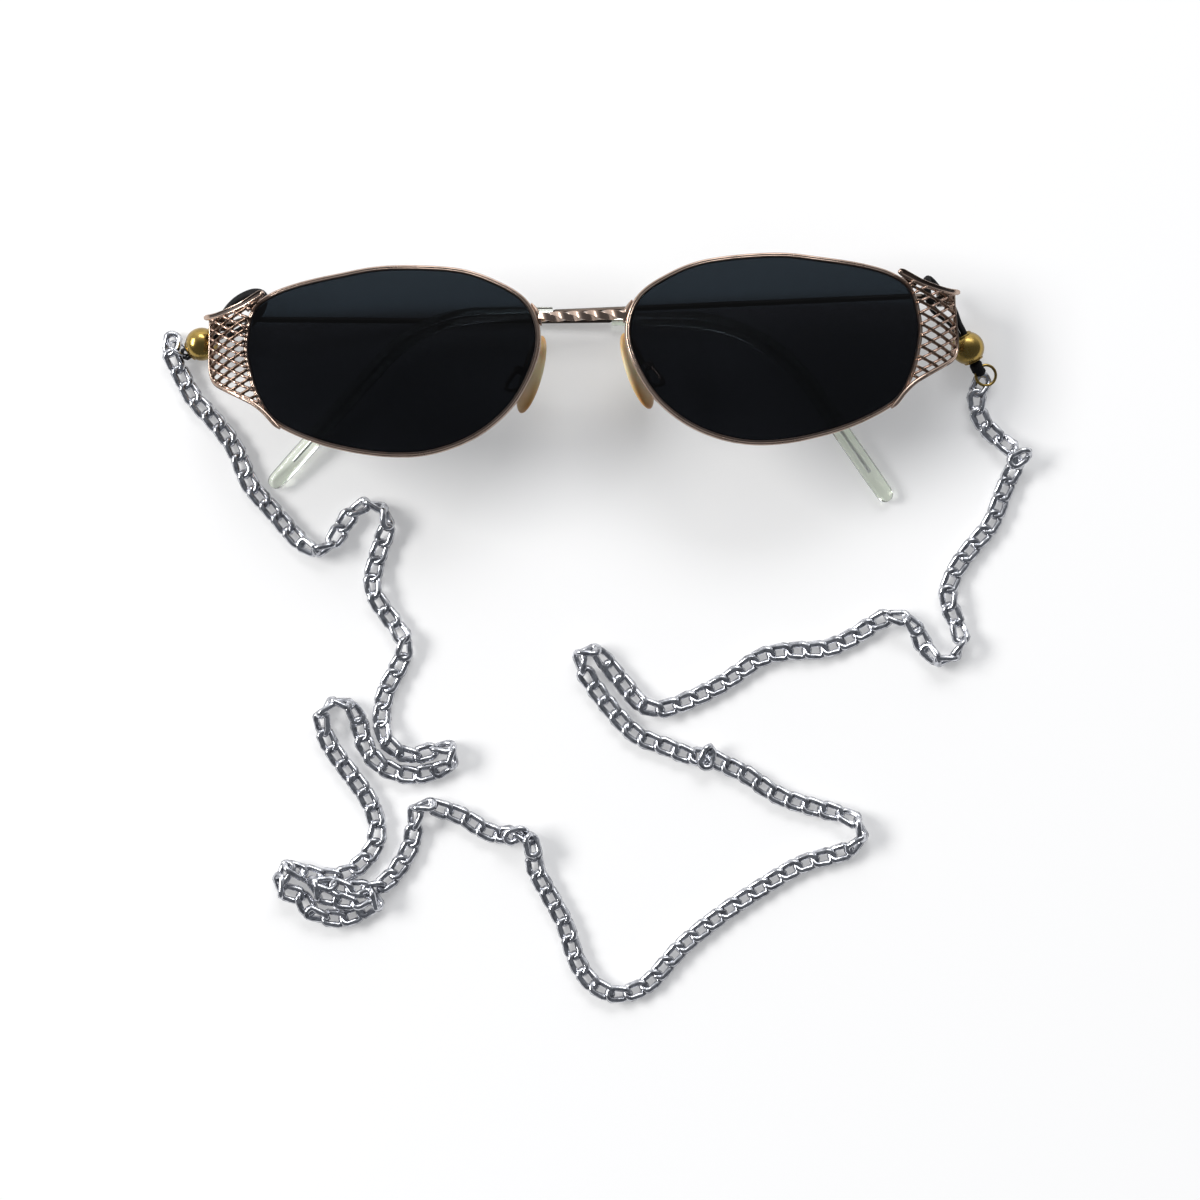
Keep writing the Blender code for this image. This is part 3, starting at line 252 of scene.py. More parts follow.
# A blank turned about Z from (radius, height) points in mm
def turnedBlank(profile, steps, closed=False):
    mesh = bpy.data.meshes.new("blank")
    edges = [(i, i + 1) for i in range(len(profile) - 1)] + ([(len(profile) - 1, 0)] if closed else [])
    mesh.from_pydata([(r, 0, z) for r, z in profile], edges, [])
    blank = bpy.data.objects.new("blank", mesh)
    bpy.context.scene.collection.objects.link(blank)
    opened(blank)
    bpy.ops.mesh.spin(steps=steps, angle=2 * math.pi, center=(0, 0, 0), axis=(0, 0, 1))
    bpy.ops.mesh.select_all(action="SELECT")
    bpy.ops.mesh.remove_doubles(threshold=0.0001)
    bpy.ops.object.mode_set(mode="OBJECT")
    return blank


# Turns all faces outwards
def outward(piece):
    opened(piece)
    bpy.ops.mesh.normals_make_consistent(inside=False)
    bpy.ops.object.mode_set(mode="OBJECT")
    return piece


# Moves each vertex of a blank by a rule in mm, and turns the result into metres
def reshaped(blank, rule):
    for vertex in blank.data.vertices:
        vertex.co = metres(rule(vertex.co))
    return outward(blank)


# A bar drawn through rings of points in mm, each ring an extrusion of the one before
def drawnThrough(rings):
    deselect()
    bpy.ops.mesh.primitive_circle_add(vertices=len(rings[0]), radius=0.001, fill_type="NGON")
    bar = bpy.context.object
    rings = [[Vector(metres(p)) for p in ring] for ring in rings]
    for vertex, place in zip(bar.data.vertices, rings[0]):
        vertex.co = place
    opened(bar)
    shape = bmesh.from_edit_mesh(bar.data)
    for last, ring in zip(rings, rings[1:]):
        bpy.ops.mesh.extrude_region_move()
        for vertex in [v for v in shape.verts if v.select]:
            vertex.co = ring[min(range(len(last)), key=lambda i: (vertex.co - last[i]).length_squared)]
    bmesh.update_edit_mesh(bar.data)
    return outward(bar)


def joined(pieces):
    choose(*pieces)
    bpy.ops.object.join()
    return pieces[0]


def smoothUnder(piece, degrees):
    choose(piece)
    bpy.ops.object.shade_smooth_by_angle(angle=math.radians(degrees))
    return piece


# Rings of a round or oval bar along a line, with its ends rounded off in a few steps
def barRings(line, radii, facets=12, flat=1.0, up=(0, 0, 1), ends=3):
    line = np.array(line, dtype=float)
    radii = np.broadcast_to(radii, len(line)).astype(float)
    turn = np.arange(facets) * 2 * math.pi / facets
    heads = [unit(h) for h in np.gradient(line, axis=0)]
    ups = np.broadcast_to(up, (len(line), 3))

    def ring(centre, head, radius, up):
        across = unit(np.cross(up, head))
        over = np.cross(head, across)
        return [centre + radius * (across * math.cos(t) + over * flat * math.sin(t)) for t in turn]

    def cap(k, way, lean):
        centre = line[k] + way * heads[k] * radii[k] * math.sin(lean)
        return ring(centre, heads[k], radii[k] * math.cos(lean), ups[k])

    leans = [math.radians(82 * k / ends) for k in range(1, ends + 1)]
    middle = [ring(c, h, r, u) for c, h, r, u in zip(line, heads, radii, ups)]
    return [cap(0, -1, a) for a in leans[::-1]] + middle + [cap(-1, 1, a) for a in leans]


# Chain: one flat curb chain in mm, whose links stand on edge where it bends tightly
chain = {
    "pitch": 3.42, "wire": 1.36, "length": 5.5, "width": 3.85, "twist": 66.0, "end": 0.5,
    "flatBend": 9.0, "edgeBend": 4.0, "edgeTurn": 78.0, "settle": 3.2, "step": 0.25, "turnReach": 5,
    "lie": 1.12, "loose": 2.5, "oddTip": 25.0, "oddLift": 0.8,
    "oddLinks": [(81.8, -21.1, 30.0), (-14.1, -92.4, 100.0), (-16.0, -89.6, 20.0), (21.1, -76.6, 75.0)],
    "leftRun": [
        (-78.4, 8.3), (-78.7, 6.6), (-79.06, 4.4), (-78, 1.9), (-76.2, -2), (-74.9, -4.5), (-71, -9),
        (-67.5, -14), (-65.5, -19.5), (-64.3, -22), (-60.5, -26.5), (-56, -32), (-52.6, -34.3),
        (-49.5, -33.2), (-46.5, -28.5), (-43.5, -26), (-40, -26.3), (-38.6, -29.5), (-40, -33.5),
        (-41.5, -38), (-42, -41.5), (-41, -44.5), (-37.2, -50), (-36, -53), (-37.2, -56.5),
        (-40, -61.5), (-41, -66), (-40.8, -70), (-38.8, -72.8), (-35.5, -74.2), (-32, -73.5),
        (-29.2, -72.5), (-27.3, -74), (-28.6, -76.3), (-31.5, -77.3), (-35.5, -78), (-39.5, -77),
        (-42.5, -75), (-44.6, -71.5), (-45.4, -67.5), (-46.6, -64.6), (-49.5, -63.2), (-52.2, -65),
        (-52.4, -68.2), (-51, -72), (-48, -76.5), (-44.3, -82), (-42.7, -86.5), (-42.8, -90),
        (-44.3, -92.9),
    ],
    "pile": [
        (-47.9, -96.1, 0.9), (-50.6, -96.9, 0.9), (-52.7, -97, 1), (-54.8, -96.5, 1.2),
        (-56.8, -96, 1.4), (-58.3, -95.3, 1.5), (-59.5, -94.3, 1.5), (-60.5, -95.2, 1.5),
        (-60.3, -96.7, 1.5), (-61.6, -97, 1.5), (-62, -98.2, 1.4), (-61, -99.3, 1.3), (-59.7, -99.6, 1),
        (-57.8, -100.2, 0.9), (-56.5, -101.8, 1), (-56.1, -103.4, 1), (-54.3, -104.2, 0.9),
        (-51.4, -104.9, 0.9), (-49.2, -104.9, 0.9), (-47.1, -104.1, 0.9), (-44.6, -102.8, 1),
        (-43.2, -102.2, 1.5), (-43, -101, 2.2), (-44.2, -100.3, 2.8), (-46, -101.2, 2.9),
        (-47.6, -101.9, 2.9), (-50, -101.3, 2.9), (-52.6, -100.4, 2.9), (-55, -99.3, 2.9),
        (-55.2, -98, 3), (-53.1, -97.8, 3), (-50.4, -98.6, 2.9), (-48.3, -99.5, 2.9),
        (-46.4, -98.8, 2.8), (-44.9, -99.7, 2.3), (-43.3, -99.4, 1.7),
    ],
    "rightRun": [
        (-40.9, -98), (-39.5, -96.5), (-36.7, -92.3), (-35.6, -88.5), (-35.3, -85.2), (-33.4, -83.4),
        (-30.5, -84.6), (-26.5, -86), (-21.5, -89.3), (-18, -90), (-14.6, -90), (-12.8, -92.6),
        (-12.7, -96.5), (-10.5, -101), (-7.3, -107.5), (-5.5, -114), (-2.8, -118.7), (1, -121),
        (4.5, -121), (8.8, -119), (15, -112.5), (23, -106.5), (31, -101.5), (38.5, -97.5), (44.5, -96),
        (48.3, -94.6), (50.2, -92), (48.8, -89.3), (45.5, -87.9), (40.5, -86.5), (34, -84), (28.5, -80),
        (25, -78.3), (21.5, -76.4), (17.5, -76), (13, -74), (8, -72), (4.5, -68.5), (0.9, -63.8),
        (-1.6, -59.9), (-2.9, -56.9), (-1.2, -54.9), (1.3, -56.2), (3.6, -59.4), (6.2, -62.6),
        (8, -65.2), (10.5, -66.6), (13.5, -66.8), (20, -64.5), (26, -61.5), (32, -57.6), (38, -56.6),
        (44, -56.5), (49.5, -54.5), (55, -51.2), (58.3, -50.7), (61.5, -52.5), (63, -56), (65.6, -59.3),
        (68.8, -58.7), (70.4, -56), (69.6, -52), (68.1, -47.8), (69.4, -43), (73, -38), (77, -33.5),
        (79.5, -27.5), (81.2, -23.8), (82.6, -20.9), (80.7, -18.8), (77.5, -16), (75.5, -13.3),
        (74.8, -10.4), (75.2, -7.9), (77, -5),
    ],
}


# A ring, pulled out to a long oval and twisted so that the chain lies flat
def makeLink():
    deselect()
    bend = (chain["width"] - chain["wire"]) / 2
    straight = (chain["length"] - chain["width"]) / 2
    bpy.ops.mesh.primitive_torus_add(
        major_segments=16, minor_segments=5, major_radius=bend, minor_radius=chain["wire"] / 2)
    link = bpy.context.object
    for vertex in link.data.vertices:
        vertex.co.x += math.copysign(straight, vertex.co.x)
    twist = link.modifiers.new("twist", "SIMPLE_DEFORM")
    twist.deform_method = "TWIST"
    twist.deform_axis = "X"
    twist.angle = math.radians(chain["twist"])
    bpy.ops.object.modifier_apply(modifier="twist")
    return link


def layChain():
    link = makeLink()
    linkPoints = np.array([v.co[:] for v in link.data.vertices])
    linkFaces = np.array([p.vertices[:] for p in link.data.polygons])
    bpy.data.objects.remove(link, do_unlink=True)

    runs = chain["leftRun"] + chain["pile"] + chain["rightRun"]
    line = smoothed([(*place, 0.0) if len(place) == 2 else place for place in runs])
    whole = runAlong(line)[-1]
    stations = np.arange(0.0, whole, chain["step"])
    fine = spacedAlong(line, stations)
    heading = np.unwrap(np.arctan2(*np.gradient(fine[:, :2], axis=0).T[::-1]))
    turn = softened(np.gradient(heading, chain["step"]), chain["turnReach"])
    slight, tight = 1 / chain["flatBend"], 1 / chain["edgeBend"]
    share = np.clip((np.abs(turn) - slight) / (tight - slight), 0, 1)
    lean = softened(np.sign(turn) * share, 0.4 * chain["settle"] / chain["step"])
    roll = lean * math.radians(chain["edgeTurn"])
    low = (chain["width"] / 2) * np.abs(np.sin(roll)) + chain["lie"] * np.cos(roll)
    route = fine.copy()
    route[:, 2] = np.maximum(fine[:, 2], low)
    route[:, 2] = np.maximum(softened(route[:, 2], 3), low)

    held = whole - 2 * chain["end"]
    count = int(held / chain["pitch"])
    chance = np.random.default_rng(4)
    points, faces = [], []
    for k in range(count):
        middle = chain["end"] + (k + 0.5) * held / count
        before, here, after = (np.array([np.interp(middle + way, stations, route[:, c]) for c in range(3)])
                               for way in (-chain["pitch"] / 2, 0, chain["pitch"] / 2))
        tangent = Vector(after - before).normalized()
        across = Vector((0, 0, 1)).cross(tangent).normalized()
        up = tangent.cross(across)
        angle = np.interp(middle, stations, roll) + math.radians(chance.normal(0, chain["loose"]))
        turned = Matrix.Rotation(angle, 3, tangent)
        axes = np.array([tangent, turned @ across, turned @ up])
        points.append(linkPoints @ axes + 0.5 * (0.5 * (before + after) + here))
        faces.append(linkFaces + k * len(linkPoints))
    for x, y, degrees in chain["oddLinks"]:  # repair links that lie across the chain
        near = route[np.argmin(np.hypot(route[:, 0] - x, route[:, 1] - y))]
        tipped = Matrix.Rotation(math.radians(chain["oddTip"]), 3, "X")
        turned = np.array(Matrix.Rotation(math.radians(degrees), 3, "Z") @ tipped)
        points.append(linkPoints @ turned.T + near + (0, 0, chain["wire"] * chain["oddLift"]))
        faces.append(linkFaces + (len(points) - 1) * len(linkPoints))
    mesh = bpy.data.meshes.new("eyewear_chain")
    mesh.from_pydata([metres(p) for p in np.vstack(points)], [], np.vstack(faces).tolist())
    mesh.shade_smooth()
    piece = bpy.data.objects.new("eyewear_chain", mesh)
    bpy.context.scene.collection.objects.link(piece)
    finished(piece, "eyewear_chain", "front", ["chain_left", "chain_right", "chain_pile"], silver)


# Materials

# An empty node group: a None input is a vector, a tuple a colour and a float a number
def newGroup(name, inputs, outputs):
    group = bpy.data.node_groups.new(name, "ShaderNodeTree")
    kinds = {type(None): "NodeSocketVector", tuple: "NodeSocketColor", float: "NodeSocketFloat"}
    for socket, value in inputs.items():
        made = group.interface.new_socket(socket, in_out="INPUT", socket_type=kinds[type(value)])
        if value is not None:
            made.default_value = value
    for socket, kind in outputs.items():
        group.interface.new_socket(socket, in_out="OUTPUT", socket_type=kind)
    return group, group.nodes.new("NodeGroupInput").outputs, group.nodes.new("NodeGroupOutput")


# Worn metal: tarnish in soft patches, fine scratches and a little uneven polish
def wornGroup():
    group, given, out = newGroup(
        "worn metal",
        {"Vector": None, "Clean": (1.0, 1.0, 1.0, 1.0), "Tarnished": (0.5, 0.5, 0.5, 1.0),
         "Patch Size": 300.0, "Tarnish": 0.4, "Roughness": 0.2, "Scratches": 0.3},
        {"Color": "NodeSocketColor", "Roughness": "NodeSocketFloat", "Height": "NodeSocketFloat"})
    patches = added(group, "TexNoise", {
        "Vector": given["Vector"], "Scale": given["Patch Size"], "Detail": 4,
    })
    spread = added(group, "MapRange", {"Value": patches.outputs["Fac"], "From Min": 0.42, "From Max": 0.66})
    amount = worked(group, "MULTIPLY", spread.outputs["Result"], given["Tarnish"])
    stretch = added(group, "Mapping", {
        "Vector": given["Vector"], "Scale": (260, 3200, 3200), "Rotation": (0.3, 0.2, 0.5),
    })
    lines = added(group, "TexNoise", {"Vector": stretch.outputs[0], "Scale": 1.0, "Detail": 2})
    wired(group, out, {
        "Color": mixed(group, amount, given["Clean"], given["Tarnished"]),
        "Roughness": worked(group, "MULTIPLY_ADD", amount, 0.22, given["Roughness"]),
        "Height": worked(group, "MULTIPLY", lines.outputs["Fac"], given["Scratches"]),
    })
    return group


wornMetal = wornGroup()


def metal(name, clean, tarnished, patchSize=300.0, tarnish=0.4, roughness=0.18, scratches=0.4):
    material = newMaterial(name, clean, 1.0, roughness)
    tree = material.node_tree
    worn = added(tree, "Group", {
        "Vector": added(tree, "TexCoord").outputs["Object"], "Clean": (*clean, 1),
        "Tarnished": (*tarnished, 1), "Patch Size": patchSize, "Tarnish": tarnish,
        "Roughness": roughness, "Scratches": scratches,
    }, node_tree=wornMetal)
    bump = added(tree, "Bump", {"Height": worn.outputs["Height"], "Distance": 0.00003, "Strength": 0.5})
    shaded(material, {
        "Base Color": worn.outputs["Color"], "Roughness": worn.outputs["Roughness"],
        "Normal": bump.outputs["Normal"],
    })
    return material


# A moulded or cast surface with two soft tones and a fine skin
def mottled(name, first, second, size, roughness, **sockets):
    material = newMaterial(name, first, 0.0, roughness, **sockets)
    tree = material.node_tree
    place = added(tree, "TexCoord").outputs["Object"]
    noise = added(tree, "TexNoise", {"Vector": place, "Scale": size, "Detail": 5})
    skin = added(tree, "TexNoise", {"Vector": place, "Scale": size * 12})
    bump = added(tree, "Bump", {"Height": skin.outputs["Fac"], "Distance": 0.00003, "Strength": 0.4})
    shaded(material, {
        "Base Color": ramped(tree, noise.outputs["Fac"], (0.35, first), (0.68, second)),
        "Normal": bump.outputs["Normal"],
    })
    return material


# Wire painted near black, partly its own dark metal and partly painted shade, which is bare silver inside
# its clear sleeve, past the middle of the glasses
def coredWire(side, bareFrom=0.0056):
    material = metal("dark wire", (0.055, 0.042, 0.034), (0.02, 0.015, 0.012), 150.0, 0.5, 0.28)
    tree = material.node_tree
    parts = added(tree, "SeparateXYZ", {0: added(tree, "TexCoord").outputs["Object"]})
    across = worked(tree, "MULTIPLY", parts.outputs["X"], -side)
    bare = worked(tree, "GREATER_THAN", across, bareFrom)
    worn = tree.nodes["Group"]
    for socket, bright in (("Clean", (0.86, 0.86, 0.88, 1)), ("Tarnished", (0.6, 0.6, 0.62, 1))):
        wired(tree, worn, {socket: mixed(tree, bare, worn.inputs[socket].default_value, bright)})
    return material


# Soft silicone, pale in the middle of the pad and amber towards both ends
def padSilicone(middle=0.0034):
    material = newMaterial("amber silicone", (0.6, 0.5, 0.3), 0.0, 0.3, Subsurface_Weight=0.3,
                           Subsurface_Scale=0.002)
    tree = material.node_tree
    place = added(tree, "TexCoord").outputs["Object"]
    parts = added(tree, "SeparateXYZ", {0: place})
    reach = worked(tree, "ABSOLUTE", worked(tree, "SUBTRACT", parts.outputs["Y"], middle))
    noise = added(tree, "TexNoise", {"Vector": place, "Scale": 260.0, "Detail": 4})
    uneven = worked(tree, "MULTIPLY_ADD", noise.outputs["Fac"], 0.004, reach)
    span = added(tree, "MapRange", {"Value": uneven, "From Max": 0.0095})
    colour = ramped(tree, span.outputs["Result"], (0.3, (0.66, 0.57, 0.34)), (0.85, (0.56, 0.33, 0.11)))
    shaded(material, {"Base Color": colour})
    return material


# Dark lens glass, near black, turning to a lighter slate blue towards its top: painted light that stands in
# for the lit table seen through the lens's top
def paintedBandGlass(turnsAt=(0.0125, 0.0165)):
    material = newMaterial("dark lens", (0.006, 0.007, 0.009), 0.0, 0.0, Transmission_Weight=1.0, IOR=1.3)
    tree = material.node_tree
    parts = added(tree, "SeparateXYZ", {0: added(tree, "TexCoord").outputs["Object"]})
    height = added(tree, "MapRange", {
        "Value": parts.outputs["Y"], "From Min": turnsAt[0], "From Max": turnsAt[1],
    }, interpolation_type="SMOOTHSTEP")
    # near black below, and a painted lit band of slate blue above
    colour = ramped(tree, height.outputs["Result"], (0.0, (0.0055, 0.0063, 0.0082)),
                    (1.0, (0.0155, 0.0225, 0.0295)))
    shaded(material, {"Base Color": colour})
    return material


roseGold = metal("rose gold", (0.50, 0.375, 0.305), (0.17, 0.115, 0.085), 260.0, 0.5, 0.18)
silver = metal("polished silver", (0.68, 0.69, 0.73), (0.16, 0.165, 0.19), 900.0, 0.7, 0.1, 0.2)
brass = metal("yellow gold", (0.40, 0.275, 0.08), (0.13, 0.085, 0.024), 420.0, 0.7, 0.2)
copper = metal("copper pink", (0.46, 0.32, 0.255), (0.19, 0.12, 0.09), 420.0, 0.6, 0.16)
# a darker brown gold; on the lattice it is painted shade, a shaded copy of the copper strands' metal
brownGoldAndShade = metal("brown gold and painted shade", (0.20, 0.135, 0.10), (0.06, 0.04, 0.03), 420.0, 0.6, 0.2)
steel = metal("steel", (0.62, 0.60, 0.57), (0.32, 0.29, 0.26), 300.0, 0.3, 0.22)
# Painted shade: a dull dark finish laid where shade falls, on groove floors, the rims' inner lips and the
# rails' outer sides
paintedShade = mottled("painted shade finish", (0.045, 0.026, 0.019), (0.022, 0.014, 0.011), 500.0, 0.5,
                     Metallic=0.35)
rubber = mottled("black rubber", (0.006, 0.006, 0.007), (0.012, 0.012, 0.013), 700.0, 0.6,
                 Specular_IOR_Level=0.1)
clearGreen = mottled("clear green sleeve", (0.88, 0.94, 0.82), (0.95, 0.98, 0.91), 120.0, 0.06,
                     Transmission_Weight=1.0, IOR=1.36)
softAmber = padSilicone()
darkGlass = paintedBandGlass()
print("materials ready")

layChain()

# Lenses and rims
lens = {
    "width": 54.0, "height": 33.6, "thickness": 1.8, "radius": 88.0, "gap": 17.6, "wrap": 4.0,
    "front": 18.6, "ridge": 0.9, "tip": 0.46, "clear": 0.12, "steps": 176, "disc": 10,
    "outline": [  # shares of half the width and height, from the middle of the top round the temple side
        (0, 1), (0.33, 0.94), (0.63, 0.86), (0.83, 0.76), (0.95, 0.6), (1, 0.24), (0.98, -0.03),
        (0.926, -0.31), (0.826, -0.565), (0.63, -0.75), (0.37, -0.9), (0.04, -1), (-0.26, -0.99),
        (-0.555, -0.83), (-0.796, -0.53), (-0.948, -0.13), (-1, 0.25), (-0.93, 0.583), (-0.74, 0.8),
        (-0.463, 0.952),
    ],
}
rim = {
    "dark": 0.3, "height": 0.9,  # how far out its inner lip is painted dark as shade, and its height over the lens's middle
    "section": [  # out from the lens's edge and up, round the bar
        (0.0, 0.55), (0.03, 0.7), (0.12, 0.8), (0.24, 0.86), (0.36, 0.84), (0.44, 0.8), (0.52, 0.84),
        (0.62, 0.89), (0.74, 0.88), (0.86, 0.8), (0.93, 0.66), (0.95, 0.45), (0.95, -0.45), (0.93, -0.7),
        (0.82, -0.84), (0.6, -0.9), (0.35, -0.9), (0.13, -0.82), (0.02, -0.68), (0.0, -0.55), (0.5, 0.0),
    ],
}
lensEdge = evenly(smoothed([(u * lens["width"] / 2, v * lens["height"] / 2) for u, v in lens["outline"]],
                           24, closed=True), lens["steps"], closed=True)
edgeHeads = np.roll(lensEdge, -1, axis=0) - np.roll(lensEdge, 1, axis=0)
edgeHeads /= np.linalg.norm(edgeHeads, axis=1)[:, None]
edgeOut = np.column_stack([-edgeHeads[:, 1], edgeHeads[:, 0]])


def lensDrop(x, y):
    return lens["radius"] - math.sqrt(lens["radius"] ** 2 - x * x - y * y)


wrap = math.radians(lens["wrap"])
halfLens = lens["width"] / 2
lensCentre = lens["gap"] / 2 + halfLens * math.cos(wrap) + lensDrop(halfLens, 0) * math.sin(wrap)


# A point over the right lens's own plane, carried to one side of the glasses
def onLens(side, x, y, up):
    z = up - lensDrop(x, y)
    return (side * (lensCentre + x * math.cos(wrap) + z * math.sin(wrap)), y,
            lens["front"] + z * math.cos(wrap) - x * math.sin(wrap))


# The lens edge's point and outward way for a blank's vertex, by its angle
def atEdge(co):
    k = round(math.atan2(co.y, co.x) / (2 * math.pi) * lens["steps"]) % lens["steps"]
    return lensEdge[k], edgeOut[k]


def makeLens(word, side):
    top, ridge, disc = lens["thickness"] / 2, lens["ridge"] / 2, lens["disc"]
    profile = [(r, top) for r in range(disc + 1)]
    profile += [(disc, ridge), (disc + lens["tip"], 0), (disc, -ridge)]
    profile += [(r, -top) for r in range(disc, -1, -1)]

    def rule(co):
        reach = math.hypot(co.x, co.y)
        edge, out = atEdge(co)
        x, y = (edge - out * lens["clear"]) * min(1, reach / disc) + out * max(0, reach - disc)
        return onLens(side, x, y, co.z)

    piece = smoothUnder(reshaped(turnedBlank(profile, lens["steps"]), rule), 40)
    finished(piece, f"dark_lens_{word}", "front", [f"lens_{word}"], darkGlass)


def makeRim(word, side):
    def rule(co):
        edge, out = atEdge(co)
        x, y = edge + out * (math.hypot(co.x, co.y) - lens["disc"])
        return onLens(side, x, y, co.z)

    section = [(lens["disc"] + out, up) for out, up in rim["section"]]
    blank = turnedBlank(section, lens["steps"], closed=True)
    # the top of the inner lip is painted dark, as painted shade
    for face in blank.data.polygons:
        reach = math.hypot(face.center.x, face.center.y) - lens["disc"]
        face.material_index = 1 if reach < rim["dark"] and face.center.z > 0 else 0
    piece = smoothUnder(reshaped(blank, rule), 60)
    finished(piece, f"round_rim_{word}", "front", [f"rim_{word}"], roseGold, paintedShade)


# Points round the outside of the right rim
def rimOuter(out=0.95, up=0.0):
    return np.array([onLens(1, *(edge + way * out), up) for edge, way in zip(lensEdge, edgeOut)])


# Height of the lens's middle surface, carried on past its edge
def frontHeight(x, y):
    along = 0.0
    for _ in range(4):
        back = lensDrop(along, y)
        along = (abs(x) - lensCentre + back * math.sin(wrap)) / math.cos(wrap)
    return lens["front"] - lensDrop(along, y) * math.cos(wrap) - along * math.sin(wrap)


for word, side in sides:
    makeLens(word, side)
    makeRim(word, side)
print("lenses and rims ready")

# Bridge: a twisted bar between two curved feet
bridge = {"side": 1.4, "y": 7.4, "pitch": 13.2, "plain": 0.7, "corner": 0.936, "hollow": 0.94,
          "steps": 110, "setIn": 0.02, "footRadius": 0.46, "footFrom": 5.9, "footTo": 9.9, "footIn": 0.28,
          "footShares": (0.3, 0.7, 1.0, 1.25, 1.3, 1.2, 0.95, 0.7, 0.4)}


def makeBridge():
    outer = rimOuter()
    nasal = outer[outer[:, 0] < lensCentre - lens["width"] / 4]
    nasal = nasal[np.argsort(nasal[:, 1])]
    edges = [bridge["y"] - bridge["side"] / 2, bridge["y"] + bridge["side"] / 2]
    half = np.interp(edges, nasal[:, 1], nasal[:, 0]).min() - bridge["setIn"]
    height = frontHeight(half, bridge["y"])
    s = bridge["side"] / 2
    quarter = [(s, -s * bridge["corner"]), (s * bridge["hollow"], 0), (s, s * bridge["corner"])]
    square = [(a * cos - b * sin, a * sin + b * cos) for cos, sin in ((1, 0), (0, 1), (-1, 0), (0, -1))
              for a, b in quarter]
    rings = []
    for x in np.linspace(-half, half, bridge["steps"]):
        held = np.clip(x, bridge["plain"] - half, half - bridge["plain"])
        turn = 2 * math.pi * held / bridge["pitch"]
        rings.append([(x, bridge["y"] + a * math.cos(turn) - b * math.sin(turn),
                       height + a * math.sin(turn) + b * math.cos(turn)) for a, b in square])
    parts = [smoothUnder(drawnThrough(rings), 25)]
    rows = np.linspace(bridge["footFrom"], bridge["footTo"], len(bridge["footShares"]))
    beside = np.interp(rows, nasal[:, 1], nasal[:, 0]) - bridge["footIn"]
    radii = bridge["footRadius"] * np.array(bridge["footShares"])
    for _, side in sides:
        line = [(side * x, y, frontHeight(x, y)) for x, y in zip(beside, rows)]
        parts.append(smoothUnder(drawnThrough(barRings(line, radii)), 60))
    finished(joined(parts), "twisted_bridge", "front", ["bridge_bar"], roseGold)


makeBridge()
print("bridge ready")

# Side panels: rails and diamond mesh, bent back round an arc
panel = {
    "startX": 59.0, "startZ": 14.5, "bend": 17.5, "startAngle": 7.0, "depth": 0.9, "lap": 0.12,
    "topRoute": [(59.4, 14.0), (61.0, 13.1), (63.5, 11.8), (66.5, 10.8), (69.0, 10.3), (71.3, 10.3)],
    "topWidths": (1.32, 1.05), "topSunk": 0.3,
    "sideRoute": [
        (70.0, 9.5), (70.3, 6.0), (70.6, 1.5), (70.4, -0.7), (69.5, -2.4), (67.3, -3.8), (64.5, -5.3),
        (61.9, -6.8), (59.9, -8.5), (58.2, -10.5), (57.0, -11.7),
    ],
    "sideWidths": [(0.0, 0.45), (0.33, 0.5), (0.45, 0.86), (1.0, 0.9)],
    "cellWidth": {"left": 3.9, "right": 4.4}, "cellHeight": {"left": 1.9, "right": 2.12}, "shift": 0.82,
    "strand": {"left": 0.29, "right": 0.26}, "tall": 1.6, "arch": 0.16, "web": 0.22, "shortest": 0.7,
    "knot": 0.4, "knotLift": 0.1, "studs": ((59.5, 13.7, 0.45), (61.9, 11.9, 0.36)), "studIn": 0.15,
    "inside": (62.0, 3.0), "outward": 0.72, "overRim": 0.45, "postOut": 0.25, "headIn": 0.4,
    "headTo": 70.0, "rimSpan": (-11.6, 13.4),
}
startAngle = math.radians(panel["startAngle"])
arcX = panel["startX"] - panel["bend"] * math.sin(startAngle)
arcZ = panel["startZ"] - panel["bend"] * math.cos(startAngle)
rimReach = rimOuter()[:, 0].max()


def panelAngle(x):
    return math.asin((x - arcX) / panel["bend"])


def panelPoint(angle, y, lift=0.0):
    reach = panel["bend"] + lift
    return np.array([arcX + reach * math.sin(angle), y, arcZ + reach * math.cos(angle)])


# A rail's middle and its up direction over a plan point, lifted where it laps the rim
def railStation(x, y):
    angle = panelAngle(x)
    point = panelPoint(angle, y)
    if x < rimReach + panel["overRim"]:
        rimTop = frontHeight(x - panel["overRim"], y) + rim["height"]
        point[2] = max(point[2], rimTop + panel["lap"] + panel["depth"] / 2)
    return point, np.array([math.sin(angle), 0.0, math.cos(angle)])


def railRings(side, line, sections):
    points, ups = zip(*[railStation(x, y) for x, y in line])
    heads = np.gradient(np.array(points), axis=0)
    flip = np.array([side, 1, 1])
    rings = []
    for point, up, head, section in zip(points, ups, heads, sections):
        across = unit(np.cross(up, unit(head)))
        rings.append([(point + across * a + up * b) * flip for a, b in section])
    return rings


